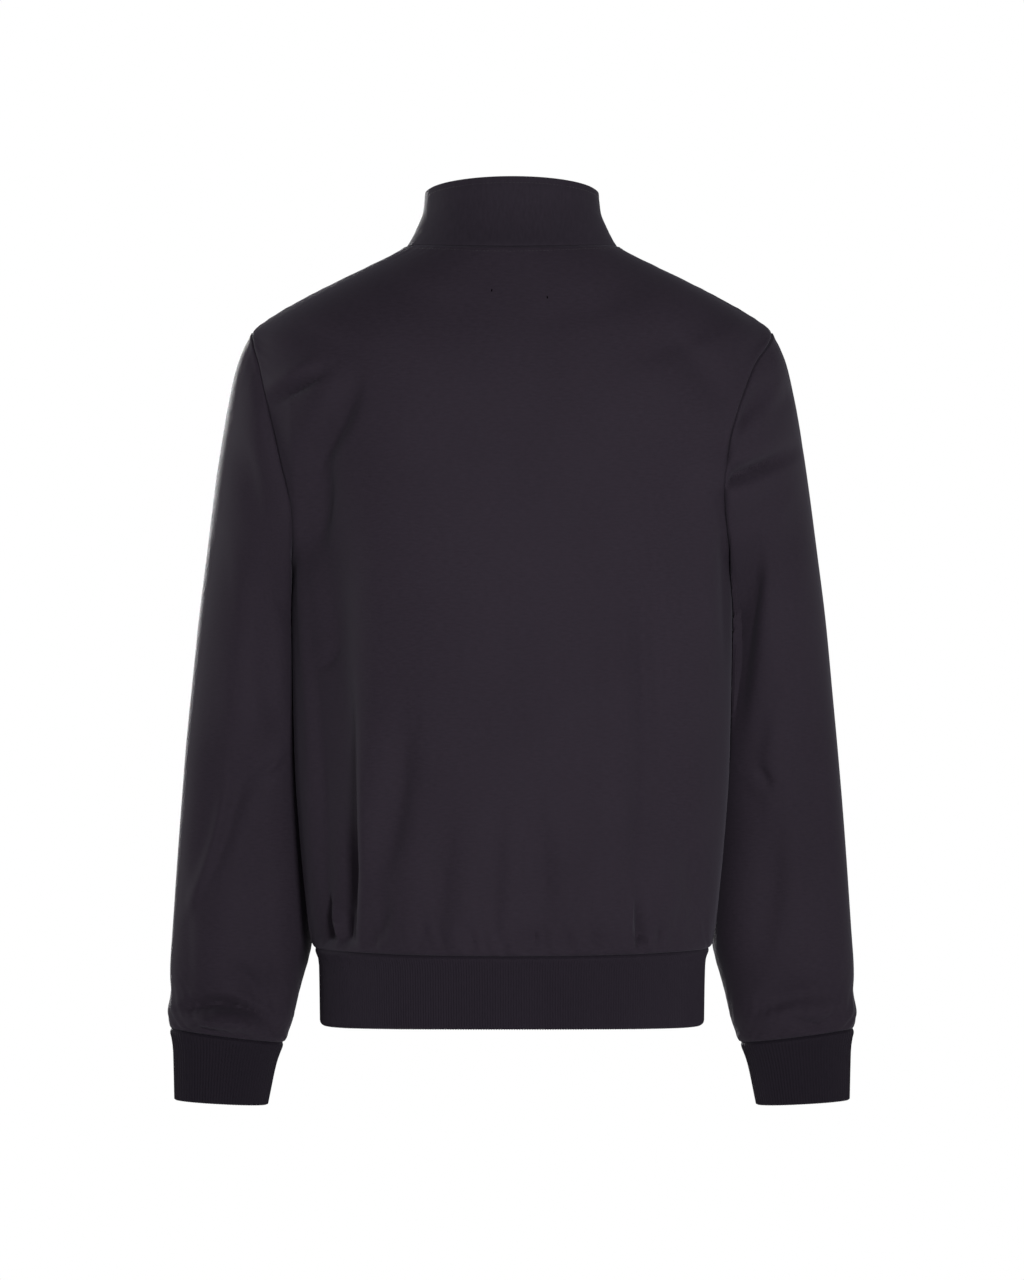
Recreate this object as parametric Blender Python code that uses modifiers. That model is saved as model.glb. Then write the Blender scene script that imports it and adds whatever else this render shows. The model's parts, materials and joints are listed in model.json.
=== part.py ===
"""Track jacket, worn shape with no wearer: back, two fronts, sleeves, stand collar, ribbed hem band
and cuffs, and a full-length front zip with a swinging pull tab.

Run with: blender --background --python part.py
Units are metres and +Z is up. The front faces -Y and the wearer's left is +X. The origin is the middle
of the neck opening, level with the side neck points.

All cloth comes from two smooth section tables, one for the body and collar and one for a sleeve.
Neighbouring panels share the points of their seam and the direction of their wall there, so their
edges meet as mitres, SEAM_GAP apart.
"""
import math
from collections import namedtuple

import bmesh
import bpy
import numpy as np

MM = 0.001

# Cloth
CLOTH_THICKNESS = 1.5 * MM
COLLAR_THICKNESS = 2.5 * MM  # two layers
RIB_THICKNESS = 2.6 * MM  # two layers, without the raised ribs
SEAM_GAP = 0.3 * MM
PULL_LIMIT = 0.4  # at seams folded more sharply than this, the edges aren't drawn further apart
DEPTH_LIMIT = 0.7  # nor is the wall made deeper along the mitre
RIB_HEIGHT = 0.5 * MM
BODY_RIBS_PER_COLUMN = 10
CUFF_RIBS_PER_COLUMN = 4

# Front zip
FRONT_OPENING = 12.0 * MM  # between the front edges, over the zip
CHAIN_WIDTH = 6.0 * MM
CHAIN_THICKNESS = 2.4 * MM
TAPE_THICKNESS = 1.0 * MM
TAPE_REACH = 9.0 * MM  # under the front edge
PART_GAP = 0.3 * MM
CHAIN_PROUD = 1.6 * MM  # of the tape's outer face
STOP_HEIGHT = 9.0 * MM

SLIDER_WIDTH = 9.6 * MM
SLIDER_HEIGHT = 12.0 * MM
SLIDER_PLATE = 1.5 * MM
SLIDER_TOP_Z = -11.5 * MM
POST_WIDTH = 3.0 * MM
POST_HEIGHT = 2.5 * MM
BRIDGE_WIDTH = 1.8 * MM
BRIDGE_HOLE_RADIUS = 1.35 * MM
BRIDGE_WALL = 1.1 * MM
TAB_LENGTH = 25.0 * MM
TAB_WIDTH = 6.6 * MM
TAB_THICKNESS = 1.2 * MM
TAB_BAR = 1.4 * MM
TAB_EYE = 3.4 * MM  # length of the eye below the bar

# Body and collar sections, in millimetres. `z` is the height at the sides, `back` and `front` are depths
# from `centre` (along Y), the drops and `tilt` say how far the middles lie below or above the sides, and
# `full` is the superellipse power.
Section = namedtuple("Section", "z width back front centre back_drop front_drop tilt full")
BODY_SECTIONS = [
    Section(45.7, 76.0, 62.0, 67.0, -10.0, 0.0, 45.0, 10.0, 2.00),  # collar's top edge
    Section(30.0, 77.5, 64.0, 69.0, -8.0, 1.5, 50.0, 6.5, 2.00),
    Section(15.0, 83.2, 69.0, 74.0, -5.0, 3.5, 56.0, 3.0, 2.00),
    Section(0.0, 91.5, 78.0, 82.0, -2.0, 5.3, 62.0, 0.0, 2.00),  # neck seam
    Section(-5.2, 99.0, 81.0, 84.0, -2.0, 6.0, 62.0, 0.0, 2.00),
    Section(-19.2, 127.3, 87.0, 90.0, -2.0, 8.0, 61.0, 0.0, 2.05),
    Section(-40.0, 169.9, 95.0, 99.0, -3.0, 10.0, 57.0, 0.0, 2.10),
    Section(-61.0, 207.5, 102.0, 107.0, -4.0, 10.0, 50.0, 0.0, 2.15),
    Section(-75.0, 225.8, 106.0, 111.0, -4.0, 9.0, 45.0, 0.0, 2.20),  # shoulder tips
    Section(-96.0, 231.0, 110.0, 115.0, -4.0, 7.0, 40.0, 0.0, 2.25),
    Section(-130.0, 230.5, 116.5, 121.0, -4.0, 4.0, 32.0, 0.0, 2.30),
    Section(-187.0, 219.0, 120.5, 126.5, -4.0, 1.0, 17.0, 0.0, 2.30),
    Section(-240.0, 203.0, 120.5, 128.0, -4.0, 0.0, 6.0, 0.0, 2.30),
    Section(-285.0, 193.0, 119.0, 126.5, -5.0, 0.0, 0.0, 0.0, 2.30),  # underarm
    Section(-350.0, 191.8, 116.5, 123.5, -5.0, 0.0, 0.0, 0.0, 2.30),
    Section(-450.0, 189.6, 115.0, 121.0, -5.0, 0.0, 0.0, 0.0, 2.30),
    Section(-520.0, 184.8, 116.0, 121.0, -5.0, 0.0, 0.0, 0.0, 2.30),
    Section(-575.0, 179.4, 117.0, 121.0, -5.0, 0.0, 0.0, 0.0, 2.28),
    Section(-600.0, 176.2, 115.0, 118.5, -5.0, 0.0, 0.0, 0.0, 2.26),
    Section(-612.0, 172.0, 110.5, 114.0, -5.0, 2.0, 0.0, 0.0, 2.25),  # hem seam
    Section(-624.0, 168.0, 108.0, 111.5, -5.0, 0.5, 0.0, 0.0, 2.25),
    Section(-678.5, 167.0, 107.0, 110.5, -5.0, -3.0, 0.0, 0.0, 2.25),  # hem
]
COLLAR_ROWS = (45.7, 30.0, 15.0, 6.0, 0.0)
SHOULDER_ROWS = (0.0, -5.2, -19.2, -33.0, -47.0, -61.0, -75.0)
ARMHOLE_ROWS = (-75.0, -84.0, -100.0, -120.0, -142.0, -165.0, -190.0, -215.0, -240.0, -262.0, -277.0, -285.0)
SIDE_ROWS = (-285.0, -320.0, -365.0, -410.0, -455.0, -500.0, -545.0, -580.0, -600.0, -612.0)
BAND_ROWS = (-612.0, -624.0, -678.5)
BACK_COLUMNS = 20
FRONT_COLUMNS = 10

# Armhole seam, in millimetres: its depth behind or before the shoulder ridge at each height.
Armhole = namedtuple("Armhole", "z back_left back_right front")
ARMHOLE_SEAM = [
    Armhole(-75.0, 0.0, 0.0, 0.0),
    Armhole(-84.0, 24.0, 27.0, 24.0),
    Armhole(-100.0, 39.0, 50.0, 40.0),
    Armhole(-120.0, 48.0, 62.0, 50.0),
    Armhole(-145.0, 55.0, 70.0, 57.0),
    Armhole(-170.0, 57.0, 73.0, 61.0),
    Armhole(-200.0, 57.0, 72.0, 62.0),
    Armhole(-225.0, 55.0, 66.0, 58.0),
    Armhole(-250.0, 47.0, 54.0, 48.0),
    Armhole(-268.0, 34.0, 38.0, 34.0),
    Armhole(-279.0, 18.0, 20.0, 18.0),
    Armhole(-285.0, 0.0, 0.0, 0.0),
]

# Sleeve rings, in millimetres, for the left arm. Each ring lies between an outer point, on the shoulder
# and elbow side, and an inner point, next to the body. `middle` is its centre along Y, `depth` its
# half-size there, and `full` the superellipse power.
Ring = namedtuple("Ring", "number outer_x outer_z inner_x inner_z middle depth full")
SLEEVE_RINGS = [
    Ring(0, 225.8, -75.0, 193.0, -285.0, -4.0, 57.0, 2.0),  # armhole
    Ring(1, 233.6, -89.0, 198.5, -289.5, -5.0, 60.0, 2.0),
    Ring(2, 240.2, -106.0, 198.5, -296.0, -8.0, 62.0, 2.0),
    Ring(3, 245.3, -126.0, 195.0, -304.0, -12.0, 63.0, 2.0),
    Ring(4, 250.2, -150.0, 190.0, -313.0, -17.0, 64.0, 2.0),
    Ring(5, 255.8, -182.0, 186.0, -325.0, -22.0, 64.0, 2.0),
    Ring(6, 262.0, -222.0, 184.0, -341.0, -28.0, 63.0, 2.0),
    Ring(7, 268.4, -270.0, 182.0, -362.0, -33.0, 62.0, 2.0),
    Ring(8, 274.9, -322.0, 181.0, -392.0, -38.0, 60.0, 2.05),
    Ring(9, 280.9, -378.0, 180.0, -428.0, -43.0, 58.0, 2.1),
    Ring(10, 286.8, -435.0, 178.5, -468.0, -48.0, 56.0, 2.1),
    Ring(11, 291.9, -495.0, 177.0, -512.0, -52.0, 54.0, 2.15),
    Ring(12, 296.3, -552.0, 175.5, -556.0, -55.0, 51.0, 2.2),
    Ring(13, 300.0, -605.0, 176.0, -602.0, -57.0, 48.0, 2.2),
    Ring(14, 303.0, -645.0, 184.0, -642.0, -58.0, 44.0, 2.2),
    Ring(15, 302.0, -668.0, 192.5, -672.0, -58.5, 39.0, 2.2),
    Ring(16, 301.8, -686.5, 199.5, -699.0, -59.0, 33.0, 2.2),  # cuff seam
    Ring(17, 299.0, -704.0, 208.0, -715.5, -59.0, 29.0, 2.2),
    Ring(18, 297.8, -748.5, 216.0, -753.0, -59.0, 25.0, 2.2),  # wrist
]
SLEEVE_ROWS = tuple(range(17))
CUFF_ROWS = (16, 17, 18)
ARMHOLE_BLEND_RINGS = 6  # over these the armhole's own outline fades into round rings
BODY_CLEARANCE = 3.0 * MM  # between a sleeve and the body's side

# Main folds, in millimetres: a soft trough (height below zero) or ridge on the back or the front, centred
# at x and z, running at `lean` degrees from upright.
Fold = namedtuple("Fold", "x z length spread lean height")
BACK_FOLDS = [
    Fold(158.0, -505.0, 95.0, 17.0, 3.0, -8.0),
    Fold(132.0, -530.0, 75.0, 15.0, -3.0, 4.5),
    Fold(-118.0, -545.0, 55.0, 16.0, 4.0, -4.0),
    Fold(-88.0, -470.0, 90.0, 26.0, -3.0, 2.5),
    Fold(150.0, -180.0, 45.0, 17.0, -38.0, -3.5),
]
FRONT_FOLDS = [
    Fold(-140.0, -520.0, 85.0, 18.0, -4.0, -6.0),
    Fold(128.0, -535.0, 70.0, 18.0, 5.0, -5.0),
    Fold(96.0, -170.0, 55.0, 20.0, 30.0, -3.5),
    Fold(-96.0, -170.0, 55.0, 20.0, -30.0, -3.5),
]
# Sleeve folds: `ring` and `turn` (degrees from the outer side towards the back) give the middle.
SleeveFold = namedtuple("SleeveFold", "ring turn rings turns height")
SLEEVE_FOLDS = [
    SleeveFold(14.2, 80.0, 0.55, 75.0, -5.0),
    SleeveFold(15.2, 80.0, 0.5, 95.0, 3.5),
    SleeveFold(10.5, 60.0, 1.6, 22.0, -4.0),
    SleeveFold(9.5, 255.0, 1.0, 50.0, -5.0),
    SleeveFold(5.6, 120.0, 0.9, 24.0, -4.0),
]

COLOURS = {
    "jersey": (0.030, 0.024, 0.032, 1.0),
    "rib_knit": (0.020, 0.016, 0.022, 1.0),
    "zip_tape": (0.016, 0.014, 0.018, 1.0),
    "zip_metal": (0.030, 0.028, 0.032, 1.0),
}


class SmoothTable:
    """A table of rows read between them along smooth curves that never overshoot."""

    def __init__(self, rows, key):
        rows = sorted(rows, key=lambda row: getattr(row, key))
        self.kind = type(rows[0])
        self.at = np.array([getattr(row, key) for row in rows], float)
        self.values = np.array(rows, float)
        step = np.diff(self.at)[:, None]
        rise = np.diff(self.values, axis=0) / step
        before, after = rise[:-1], rise[1:]
        same_way = before * after > 0
        harmonic = 2 * before * after / np.where(same_way, before + after, 1.0)
        self.slopes = np.vstack([rise[:1], np.where(same_way, harmonic, 0.0), rise[-1:]])

    def read(self, at):
        """The row at one place, as a named row."""
        i = int(np.clip(np.searchsorted(self.at, at) - 1, 0, len(self.at) - 2))
        width = self.at[i + 1] - self.at[i]
        t = (at - self.at[i]) / width
        start, end = self.values[i], self.values[i + 1]
        leave, arrive = self.slopes[i] * width, self.slopes[i + 1] * width
        row = ((2 * t**3 - 3 * t**2 + 1) * start + (t**3 - 2 * t**2 + t) * leave
               + (3 * t**2 - 2 * t**3) * end + (t**3 - t**2) * arrive)
        return self.kind(*row)


BODY = SmoothTable(BODY_SECTIONS, "z")
SEAM = SmoothTable(ARMHOLE_SEAM, "z")
SLEEVE = SmoothTable(SLEEVE_RINGS, "number")


def signed_power(value, power):
    return np.sign(value) * np.abs(value) ** power


def fold_height(folds, x, z):
    """How far the folds move the cloth out at these places, in millimetres."""
    height = np.zeros_like(x)
    for fold in folds:
        lean = math.radians(fold.lean)
        across = (x - fold.x) * math.cos(lean) - (z - fold.z) * math.sin(lean)
        along = (x - fold.x) * math.sin(lean) + (z - fold.z) * math.cos(lean)
        height += fold.height * np.exp(-((across / fold.spread) ** 2) - (along / fold.length) ** 2)
    return height


def body_points(z, angles):
    """Points in metres on the body's section at side height z, in millimetres; the angle runs from the
    left side (0) over the back (90 degrees) to the right side and the front."""
    row = BODY.read(z)
    cosine, sine = np.cos(angles), np.sin(angles)
    across, along = signed_power(cosine, 2 / row.full), signed_power(sine, 2 / row.full)
    behind = sine > 0
    depth = np.where(behind, row.back, row.front)
    drop = np.where(behind, row.back_drop, row.front_drop)
    x = row.width * across
    y = row.centre + depth * along
    height = z + row.tilt * sine - drop * sine**2
    out = np.where(behind, fold_height(BACK_FOLDS, x, height), fold_height(FRONT_FOLDS, x, height))
    fade = np.clip((z - BAND_ROWS[0]) / 25.0, 0.0, 1.0) * np.clip(-z / 60.0, 0.0, 1.0)
    out = out * fade * np.abs(along)
    return np.stack([x, y + np.sign(sine) * out, height], axis=1) * MM


def seam_angle(z, depth, side_depth):
    """Angle from the side at which the section lies this far, in millimetres, behind or before its ridge."""
    return math.asin(min(1.0, max(0.0, depth) / side_depth) ** (BODY.read(z).full / 2))


def armhole_angles(z):
    """Angles of the armhole seam at this height: back left, back right, front left and front right."""
    if not ARMHOLE_ROWS[-1] < z < ARMHOLE_ROWS[0]:
        return 0.0, math.pi, 2 * math.pi, math.pi
    row, seam = BODY.read(z), SEAM.read(z)
    front = seam_angle(z, seam.front, row.front)
    return (seam_angle(z, seam.back_left, row.back), math.pi - seam_angle(z, seam.back_right, row.back),
            2 * math.pi - front, math.pi + front)


def front_edge_angle(z):
    """Angle, past straight front, of a front edge beside the zip."""
    row = BODY.read(z)
    return math.asin((FRONT_OPENING / 2 / MM / row.width) ** (row.full / 2))


def arc_row(z, start, end, columns):
    """Points evenly spaced along a section between two angles."""
    dense = body_points(z, np.linspace(start, end, 40 * columns + 1))
    along = np.concatenate([[0.0], np.cumsum(np.linalg.norm(np.diff(dense, axis=0), axis=1))])
    at = np.linspace(0.0, along[-1], columns + 1)
    return np.stack([np.interp(at, along, dense[:, i]) for i in range(3)], axis=1)


def back_row(z):
    left, right, _, _ = armhole_angles(z)
    return arc_row(z, left, right, BACK_COLUMNS)


def front_right_row(z):
    right = armhole_angles(z)[3]
    return arc_row(z, right, 1.5 * math.pi - front_edge_angle(z), FRONT_COLUMNS)


def front_left_row(z):
    left = armhole_angles(z)[2]
    return arc_row(z, 1.5 * math.pi + front_edge_angle(z), left, FRONT_COLUMNS)


def round_row(z):
    """A whole section from the left front edge round the back to the right one, as collar and band use."""
    left, back, right = front_left_row(z), back_row(z), front_right_row(z)
    return np.vstack([left, back[1:], right[1:]])


def armhole_outline(side):
    """The armhole seam's points, from the shoulder tip down the back and up the front."""
    back, front = [], []
    for z in ARMHOLE_ROWS:
        back_left, back_right, front_left, front_right = armhole_angles(z)
        angles = (back_left, front_left) if side > 0 else (back_right, front_right)
        points = body_points(z, np.array(angles))
        back.append(points[0])
        front.append(points[1])
    return np.array(back + front[-2:0:-1])


def body_side(y, z):
    """The body's half-width in metres beside a point, or zero before or behind the body."""
    row = BODY.read(z / MM)
    depth = row.back if y / MM > row.centre else row.front
    reach = abs(y / MM - row.centre) / depth
    return row.width * MM * (1 - min(1.0, reach) ** row.full) ** (1 / row.full)


def clear_of_body(point):
    """The point, moved out where it would come nearer the body's side than BODY_CLEARANCE."""
    x, y, z = point
    nearest = body_side(y, z) + BODY_CLEARANCE
    return np.array([max(x, nearest), y, z])


def sleeve_fold_height(number, turns):
    height = np.zeros_like(turns)
    for fold in SLEEVE_FOLDS:
        away = (turns - math.radians(fold.turn) + math.pi) % (2 * math.pi) - math.pi
        height += fold.height * np.exp(-(((number - fold.ring) / fold.rings) ** 2)
                                       - (away / math.radians(fold.turns)) ** 2)
    return height * MM


def round_ring(number):
    """One ring of the left sleeve, in metres, before it is fitted to the armhole."""
    row = SLEEVE.read(number)
    count = 2 * (len(ARMHOLE_ROWS) - 1)
    turns = np.linspace(0.0, 2 * math.pi, count, endpoint=False)
    outer = np.array([row.outer_x, row.middle, row.outer_z]) * MM
    inner = np.array([row.inner_x, row.middle, row.inner_z]) * MM
    centre, half = (outer + inner) / 2, (outer - inner) / 2
    across = signed_power(np.cos(turns), 2 / row.full)[:, None]
    along = signed_power(np.sin(turns), 2 / row.full)[:, None]
    ring = centre + across * half + along * np.array([0.0, row.depth * MM, 0.0])
    outwards = ring - centre
    outwards /= np.linalg.norm(outwards, axis=1)[:, None]
    fade = min(1.0, number / 2.0) * min(1.0, max(0.0, (SLEEVE_ROWS[-1] - number) / 0.6))
    return ring + outwards * (sleeve_fold_height(number, turns) * fade)[:, None]


def sleeve_ring(number, side):
    """One ring of a sleeve or cuff. The first is the armhole seam itself; side is +1 for the left."""
    left_ring = round_ring(number)
    mirror = np.array([side, 1.0, 1.0])
    share = max(0.0, 1.0 - number / ARMHOLE_BLEND_RINGS)
    offset = armhole_outline(side) * mirror - round_ring(0)
    ring = left_ring + offset * (share**2 * (3 - 2 * share))
    if number > 0:
        ring = np.array([clear_of_body(point) for point in ring])
    return ring * mirror


Patch = namedtuple("Patch", "points closed outward")


def patch(rows, closed=False, outward=1):
    """A grid of points; outward is -1 where its rows and columns turn the other way."""
    return Patch(np.array(rows), closed, outward)


def point_key(point):
    return tuple(np.round(point / (0.01 * MM)).astype(int))


def shared_normals(patches):
    """Unit normals at every patch's points, averaged by corner angle over all patches that share a point."""
    sums = {}
    for grid in patches:
        rows, columns = grid.points.shape[:2]
        for r in range(rows - 1):
            for c in range(columns if grid.closed else columns - 1):
                after = (c + 1) % columns
                corners = [grid.points[at] for at in ((r, c), (r, after), (r + 1, after), (r + 1, c))]
                for k in range(4):
                    before, beyond = corners[k - 1] - corners[k], corners[(k + 1) % 4] - corners[k]
                    normal = np.cross(before, beyond)
                    length = np.linalg.norm(normal)
                    angle = math.atan2(length, before @ beyond)
                    key = point_key(corners[k])
                    sums[key] = sums.get(key, 0.0) + normal * (grid.outward * angle / length)
    result = []
    for grid in patches:
        summed = np.array([[sums[point_key(p)] for p in row] for row in grid.points])
        result.append(summed / np.linalg.norm(summed, axis=2)[:, :, None])
    return result


def own_normals(grid):
    """Unit normals at the patch's points from its own faces alone."""
    return shared_normals([grid])[0]


def parted(grid, normals):
    """The patch's points with its edges drawn in, to half a seam gap from the mitre at each seam."""
    points = grid.points.copy()
    pulls = [(0, 1, 0), (-1, -2, 0)] + ([] if grid.closed else [(0, 1, 1), (-1, -2, 1)])
    for edge, inside, axis in pulls:
        edges = np.take(grid.points, edge, axis)
        mitre = np.take(normals, edge, axis)
        inwards = np.take(grid.points, inside, axis) - edges
        inwards /= np.linalg.norm(inwards, axis=1)[:, None]
        off_mitre = inwards - (inwards * mitre).sum(axis=1)[:, None] * mitre
        leaving = np.maximum(np.linalg.norm(off_mitre, axis=1), PULL_LIMIT)
        step = inwards * (SEAM_GAP / 2 / leaving)[:, None]
        if axis == 0:
            points[edge] += step
        else:
            points[:, edge] += step
    return points


def finish_mesh(name, vertices, faces, material):
    """A closed mesh object with its faces pointing out, in the jacket's collection."""
    mesh = bpy.data.meshes.new(name)
    mesh.from_pydata([tuple(v) for v in vertices], [], faces)
    shaping = bmesh.new()
    shaping.from_mesh(mesh)
    bmesh.ops.recalc_face_normals(shaping, faces=shaping.faces)
    shaping.to_mesh(mesh)
    shaping.free()
    mesh.materials.append(material)
    mesh.shade_smooth()
    mesh.set_sharp_from_angle(angle=math.radians(40.0))
    built = bpy.data.objects.new(name, mesh)
    JACKET.objects.link(built)
    return built


def cloth_wall(name, grid, normals, thickness, material, ribs=0):
    """A wall of cloth on a patch, its inside plain. With ribs, each column's outside carries that many
    raised ribs. Neighbours' walls share the normals at a seam, which a Solidify modifier can't give."""
    outer = parted(grid, normals)
    slant = np.maximum((normals * own_normals(grid)).sum(axis=2), DEPTH_LIMIT)
    inner = outer - normals * (thickness / slant)[:, :, None]
    rows, columns = outer.shape[:2]
    spans = columns if grid.closed else columns - 1
    splits = 2 * ribs if ribs else 1
    outside = []
    for r in range(rows):
        for c in range(spans):
            after = (c + 1) % columns
            for k in range(splits):
                t = k / splits
                raised = RIB_HEIGHT if k % 2 else 0.0
                here = outer[r, c] * (1 - t) + outer[r, after] * t
                way = normals[r, c] * (1 - t) + normals[r, after] * t
                outside.append(here + way * raised)
        if not grid.closed:
            outside.append(outer[r, -1])
    fine = spans * splits + (0 if grid.closed else 1)
    first_inner = rows * fine
    vertices = outside + list(inner.reshape(-1, 3))

    def out(r, k):
        return r * fine + k % fine

    def inn(r, c):
        return first_inner + r * columns + c % columns

    faces = [(out(r, k), out(r, k + 1), out(r + 1, k + 1), out(r + 1, k))
             for r in range(rows - 1) for k in range(spans * splits)]
    faces += [(inn(r, c), inn(r + 1, c), inn(r + 1, c + 1), inn(r, c + 1))
              for r in range(rows - 1) for c in range(spans)]
    for c in range(spans):
        edge = range(c * splits, (c + 1) * splits + 1)
        faces.append((inn(0, c + 1), inn(0, c), *[out(0, k) for k in edge]))
        faces.append((inn(rows - 1, c), inn(rows - 1, c + 1), *[out(rows - 1, k) for k in reversed(edge)]))
    if not grid.closed:
        for r in range(rows - 1):
            faces.append((out(r, 0), out(r + 1, 0), inn(r + 1, 0), inn(r, 0)))
            faces.append((out(r, fine - 1), inn(r, columns - 1), inn(r + 1, columns - 1), out(r + 1, fine - 1)))
    return finish_mesh(name, vertices, faces, material)


def zip_line(panels, side):
    """Points and wall directions under one front edge, from the collar's top to the hem: at each row the
    edge's point, a unit step away from the zip, the outward direction, and the cloth's thickness there."""
    line = []
    for grid, normals, thickness in panels:
        edge, inside = (-1, -2) if side < 0 else (0, 1)
        for r in range(grid.points.shape[0]):
            start = grid.points[r, edge]
            away = grid.points[r, inside] - start
            row = [start, away / np.linalg.norm(away), normals[r, edge], thickness]
            if line and np.allclose(line[-1][0], start):
                line[-1][3] = max(line[-1][3], thickness)
            else:
                line.append(row)
    return line


def swept_strip(name, corners, material):
    """A strip through rows of four corners each."""
    rows = len(corners)
    faces = [(0, 1, 2, 3), tuple(4 * (rows - 1) + k for k in (3, 2, 1, 0))]
    for r in range(rows - 1):
        for k in range(4):
            after = (k + 1) % 4
            faces.append((4 * r + k, 4 * (r + 1) + k, 4 * (r + 1) + after, 4 * r + after))
    return finish_mesh(name, [p for row in corners for p in row], faces, material)


def zip_tape(name, line, rows, side, material):
    """The tape sewn under one front edge, from beside the chain; rows is the zip's centre line."""
    beside_chain = np.array([side * (CHAIN_WIDTH / 2 + PART_GAP), 0.0, 0.0])
    corners = []
    for (start, away, out, _), (middle, middle_out, shallow) in zip(line, rows):
        near, far = middle + beside_chain, start + away * TAPE_REACH
        deep = shallow + TAPE_THICKNESS
        corners.append([near - middle_out * shallow, far - out * shallow, far - out * deep,
                        near - middle_out * deep])
    corners[0] = lowered(corners[0], -1)
    corners[-1] = lowered(corners[-1], 1)
    return swept_strip(name, corners, material)


def lowered(points, way):
    """An end row of the zip, drawn back from the cloth's edge by a gap."""
    return [p + np.array([0.0, 0.0, way * PART_GAP]) for p in points]


def middle_line(left, right):
    """The zip's centre line: middle point, outward direction and tape depth at each row."""
    return [((a[0] + b[0]) / 2, np.array([0.0, *((a[2] + b[2])[1:] / np.linalg.norm((a[2] + b[2])[1:]))]),
             max(a[3], b[3]) + PART_GAP) for a, b in zip(left, right)]


def chain_corners(middle, out, tape_depth):
    shallow = tape_depth - CHAIN_PROUD
    across = np.array([CHAIN_WIDTH / 2, 0.0, 0.0])
    deep = shallow + CHAIN_THICKNESS
    return [middle - across - out * shallow, middle + across - out * shallow,
            middle + across - out * deep, middle - across - out * deep]


def cut_at(rows, height):
    """The place on a centre line at this height."""
    for one, two in zip(rows, rows[1:]):
        if one[0][2] >= height >= two[0][2]:
            t = (one[0][2] - height) / (one[0][2] - two[0][2])
            return tuple(a * (1 - t) + b * t for a, b in zip(one, two))
    raise ValueError("height is off the zip")


def zip_chain(name, rows, top, bottom, material):
    """The closed chain of teeth between two heights."""
    inside = [row for row in rows if bottom < row[0][2] < top]
    kept = [cut_at(rows, top), *inside, cut_at(rows, bottom)]
    return swept_strip(name, [chain_corners(*row) for row in kept], material)


def block(name, centre, size, bevel=0.0):
    """A box of this size, with rounded edges where a bevel is given."""
    bpy.ops.mesh.primitive_cube_add(size=1.0, location=centre)
    made = bpy.context.object
    made.name = name
    made.scale = size
    bpy.ops.object.transform_apply(location=False, rotation=False, scale=True)
    if bevel:
        rounding = made.modifiers.new("rounded edges", "BEVEL")
        rounding.width = bevel
        rounding.segments = 2
        bpy.ops.object.modifier_apply(modifier=rounding.name)
    return made


def boolean(target, operation, other):
    change = target.modifiers.new(operation.lower(), "BOOLEAN")
    change.operation = operation
    change.object = other
    bpy.context.view_layer.objects.active = target
    bpy.ops.object.modifier_apply(modifier=change.name)
    bpy.data.objects.remove(other)


def move_to_jacket(made, material):
    for owner in list(made.users_collection):
        owner.objects.unlink(made)
    JACKET.objects.link(made)
    made.data.materials.clear()
    made.data.materials.append(material)
    made.data.shade_smooth()
    made.data.set_sharp_from_angle(angle=math.radians(35.0))


def zip_slider(rows, material):
    """Slider body: front and back plates round the chain, joined by a post above it, and a bridge that
    holds the pull tab. Returns the height of the chain's top end and the pull tab's hinge point."""
    middle_z = SLIDER_TOP_Z - SLIDER_HEIGHT / 2
    middle, _, tape_depth = cut_at(rows, middle_z)
    chain_face = middle[1] + tape_depth - CHAIN_PROUD
    front_face = chain_face - PART_GAP - SLIDER_PLATE
    tape_back = middle[1] + tape_depth + TAPE_THICKNESS
    back_start = max(tape_back, chain_face + CHAIN_THICKNESS) + PART_GAP
    hinge_y = front_face - BRIDGE_HOLE_RADIUS - 0.3 * MM
    overlap = 0.4 * MM
    plate = block("zip_slider", (0.0, front_face + SLIDER_PLATE / 2, middle_z),
                  (SLIDER_WIDTH, SLIDER_PLATE, SLIDER_HEIGHT), bevel=0.45 * MM)
    back = block("slider back", (0.0, back_start + SLIDER_PLATE / 2, middle_z),
                 (SLIDER_WIDTH, SLIDER_PLATE, SLIDER_HEIGHT), bevel=0.3 * MM)
    post_start, post_end = front_face + overlap, back_start + SLIDER_PLATE - overlap
    post = block("slider post", (0.0, (post_start + post_end) / 2, SLIDER_TOP_Z - 1.0 * MM - POST_HEIGHT / 2),
                 (POST_WIDTH, post_end - post_start, POST_HEIGHT))
    bridge_front = hinge_y - BRIDGE_HOLE_RADIUS - BRIDGE_WALL
    bridge_back = front_face + overlap
    bridge_length = 2 * (BRIDGE_HOLE_RADIUS + BRIDGE_WALL)
    bridge = block("slider bridge", (0.0, (bridge_front + bridge_back) / 2, middle_z),
                   (BRIDGE_WIDTH, bridge_back - bridge_front, bridge_length))
    bpy.ops.mesh.primitive_cylinder_add(vertices=24, radius=BRIDGE_HOLE_RADIUS, depth=4 * BRIDGE_WIDTH,
                                        location=(0.0, hinge_y, middle_z), rotation=(0.0, math.pi / 2, 0.0))
    boolean(bridge, "DIFFERENCE", bpy.context.object)
    for piece in (back, post, bridge):
        boolean(plate, "UNION", piece)
    move_to_jacket(plate, material)
    chain_top = SLIDER_TOP_Z - 1.0 * MM - POST_HEIGHT - PART_GAP
    return chain_top, (0.0, hinge_y, middle_z)


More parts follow.
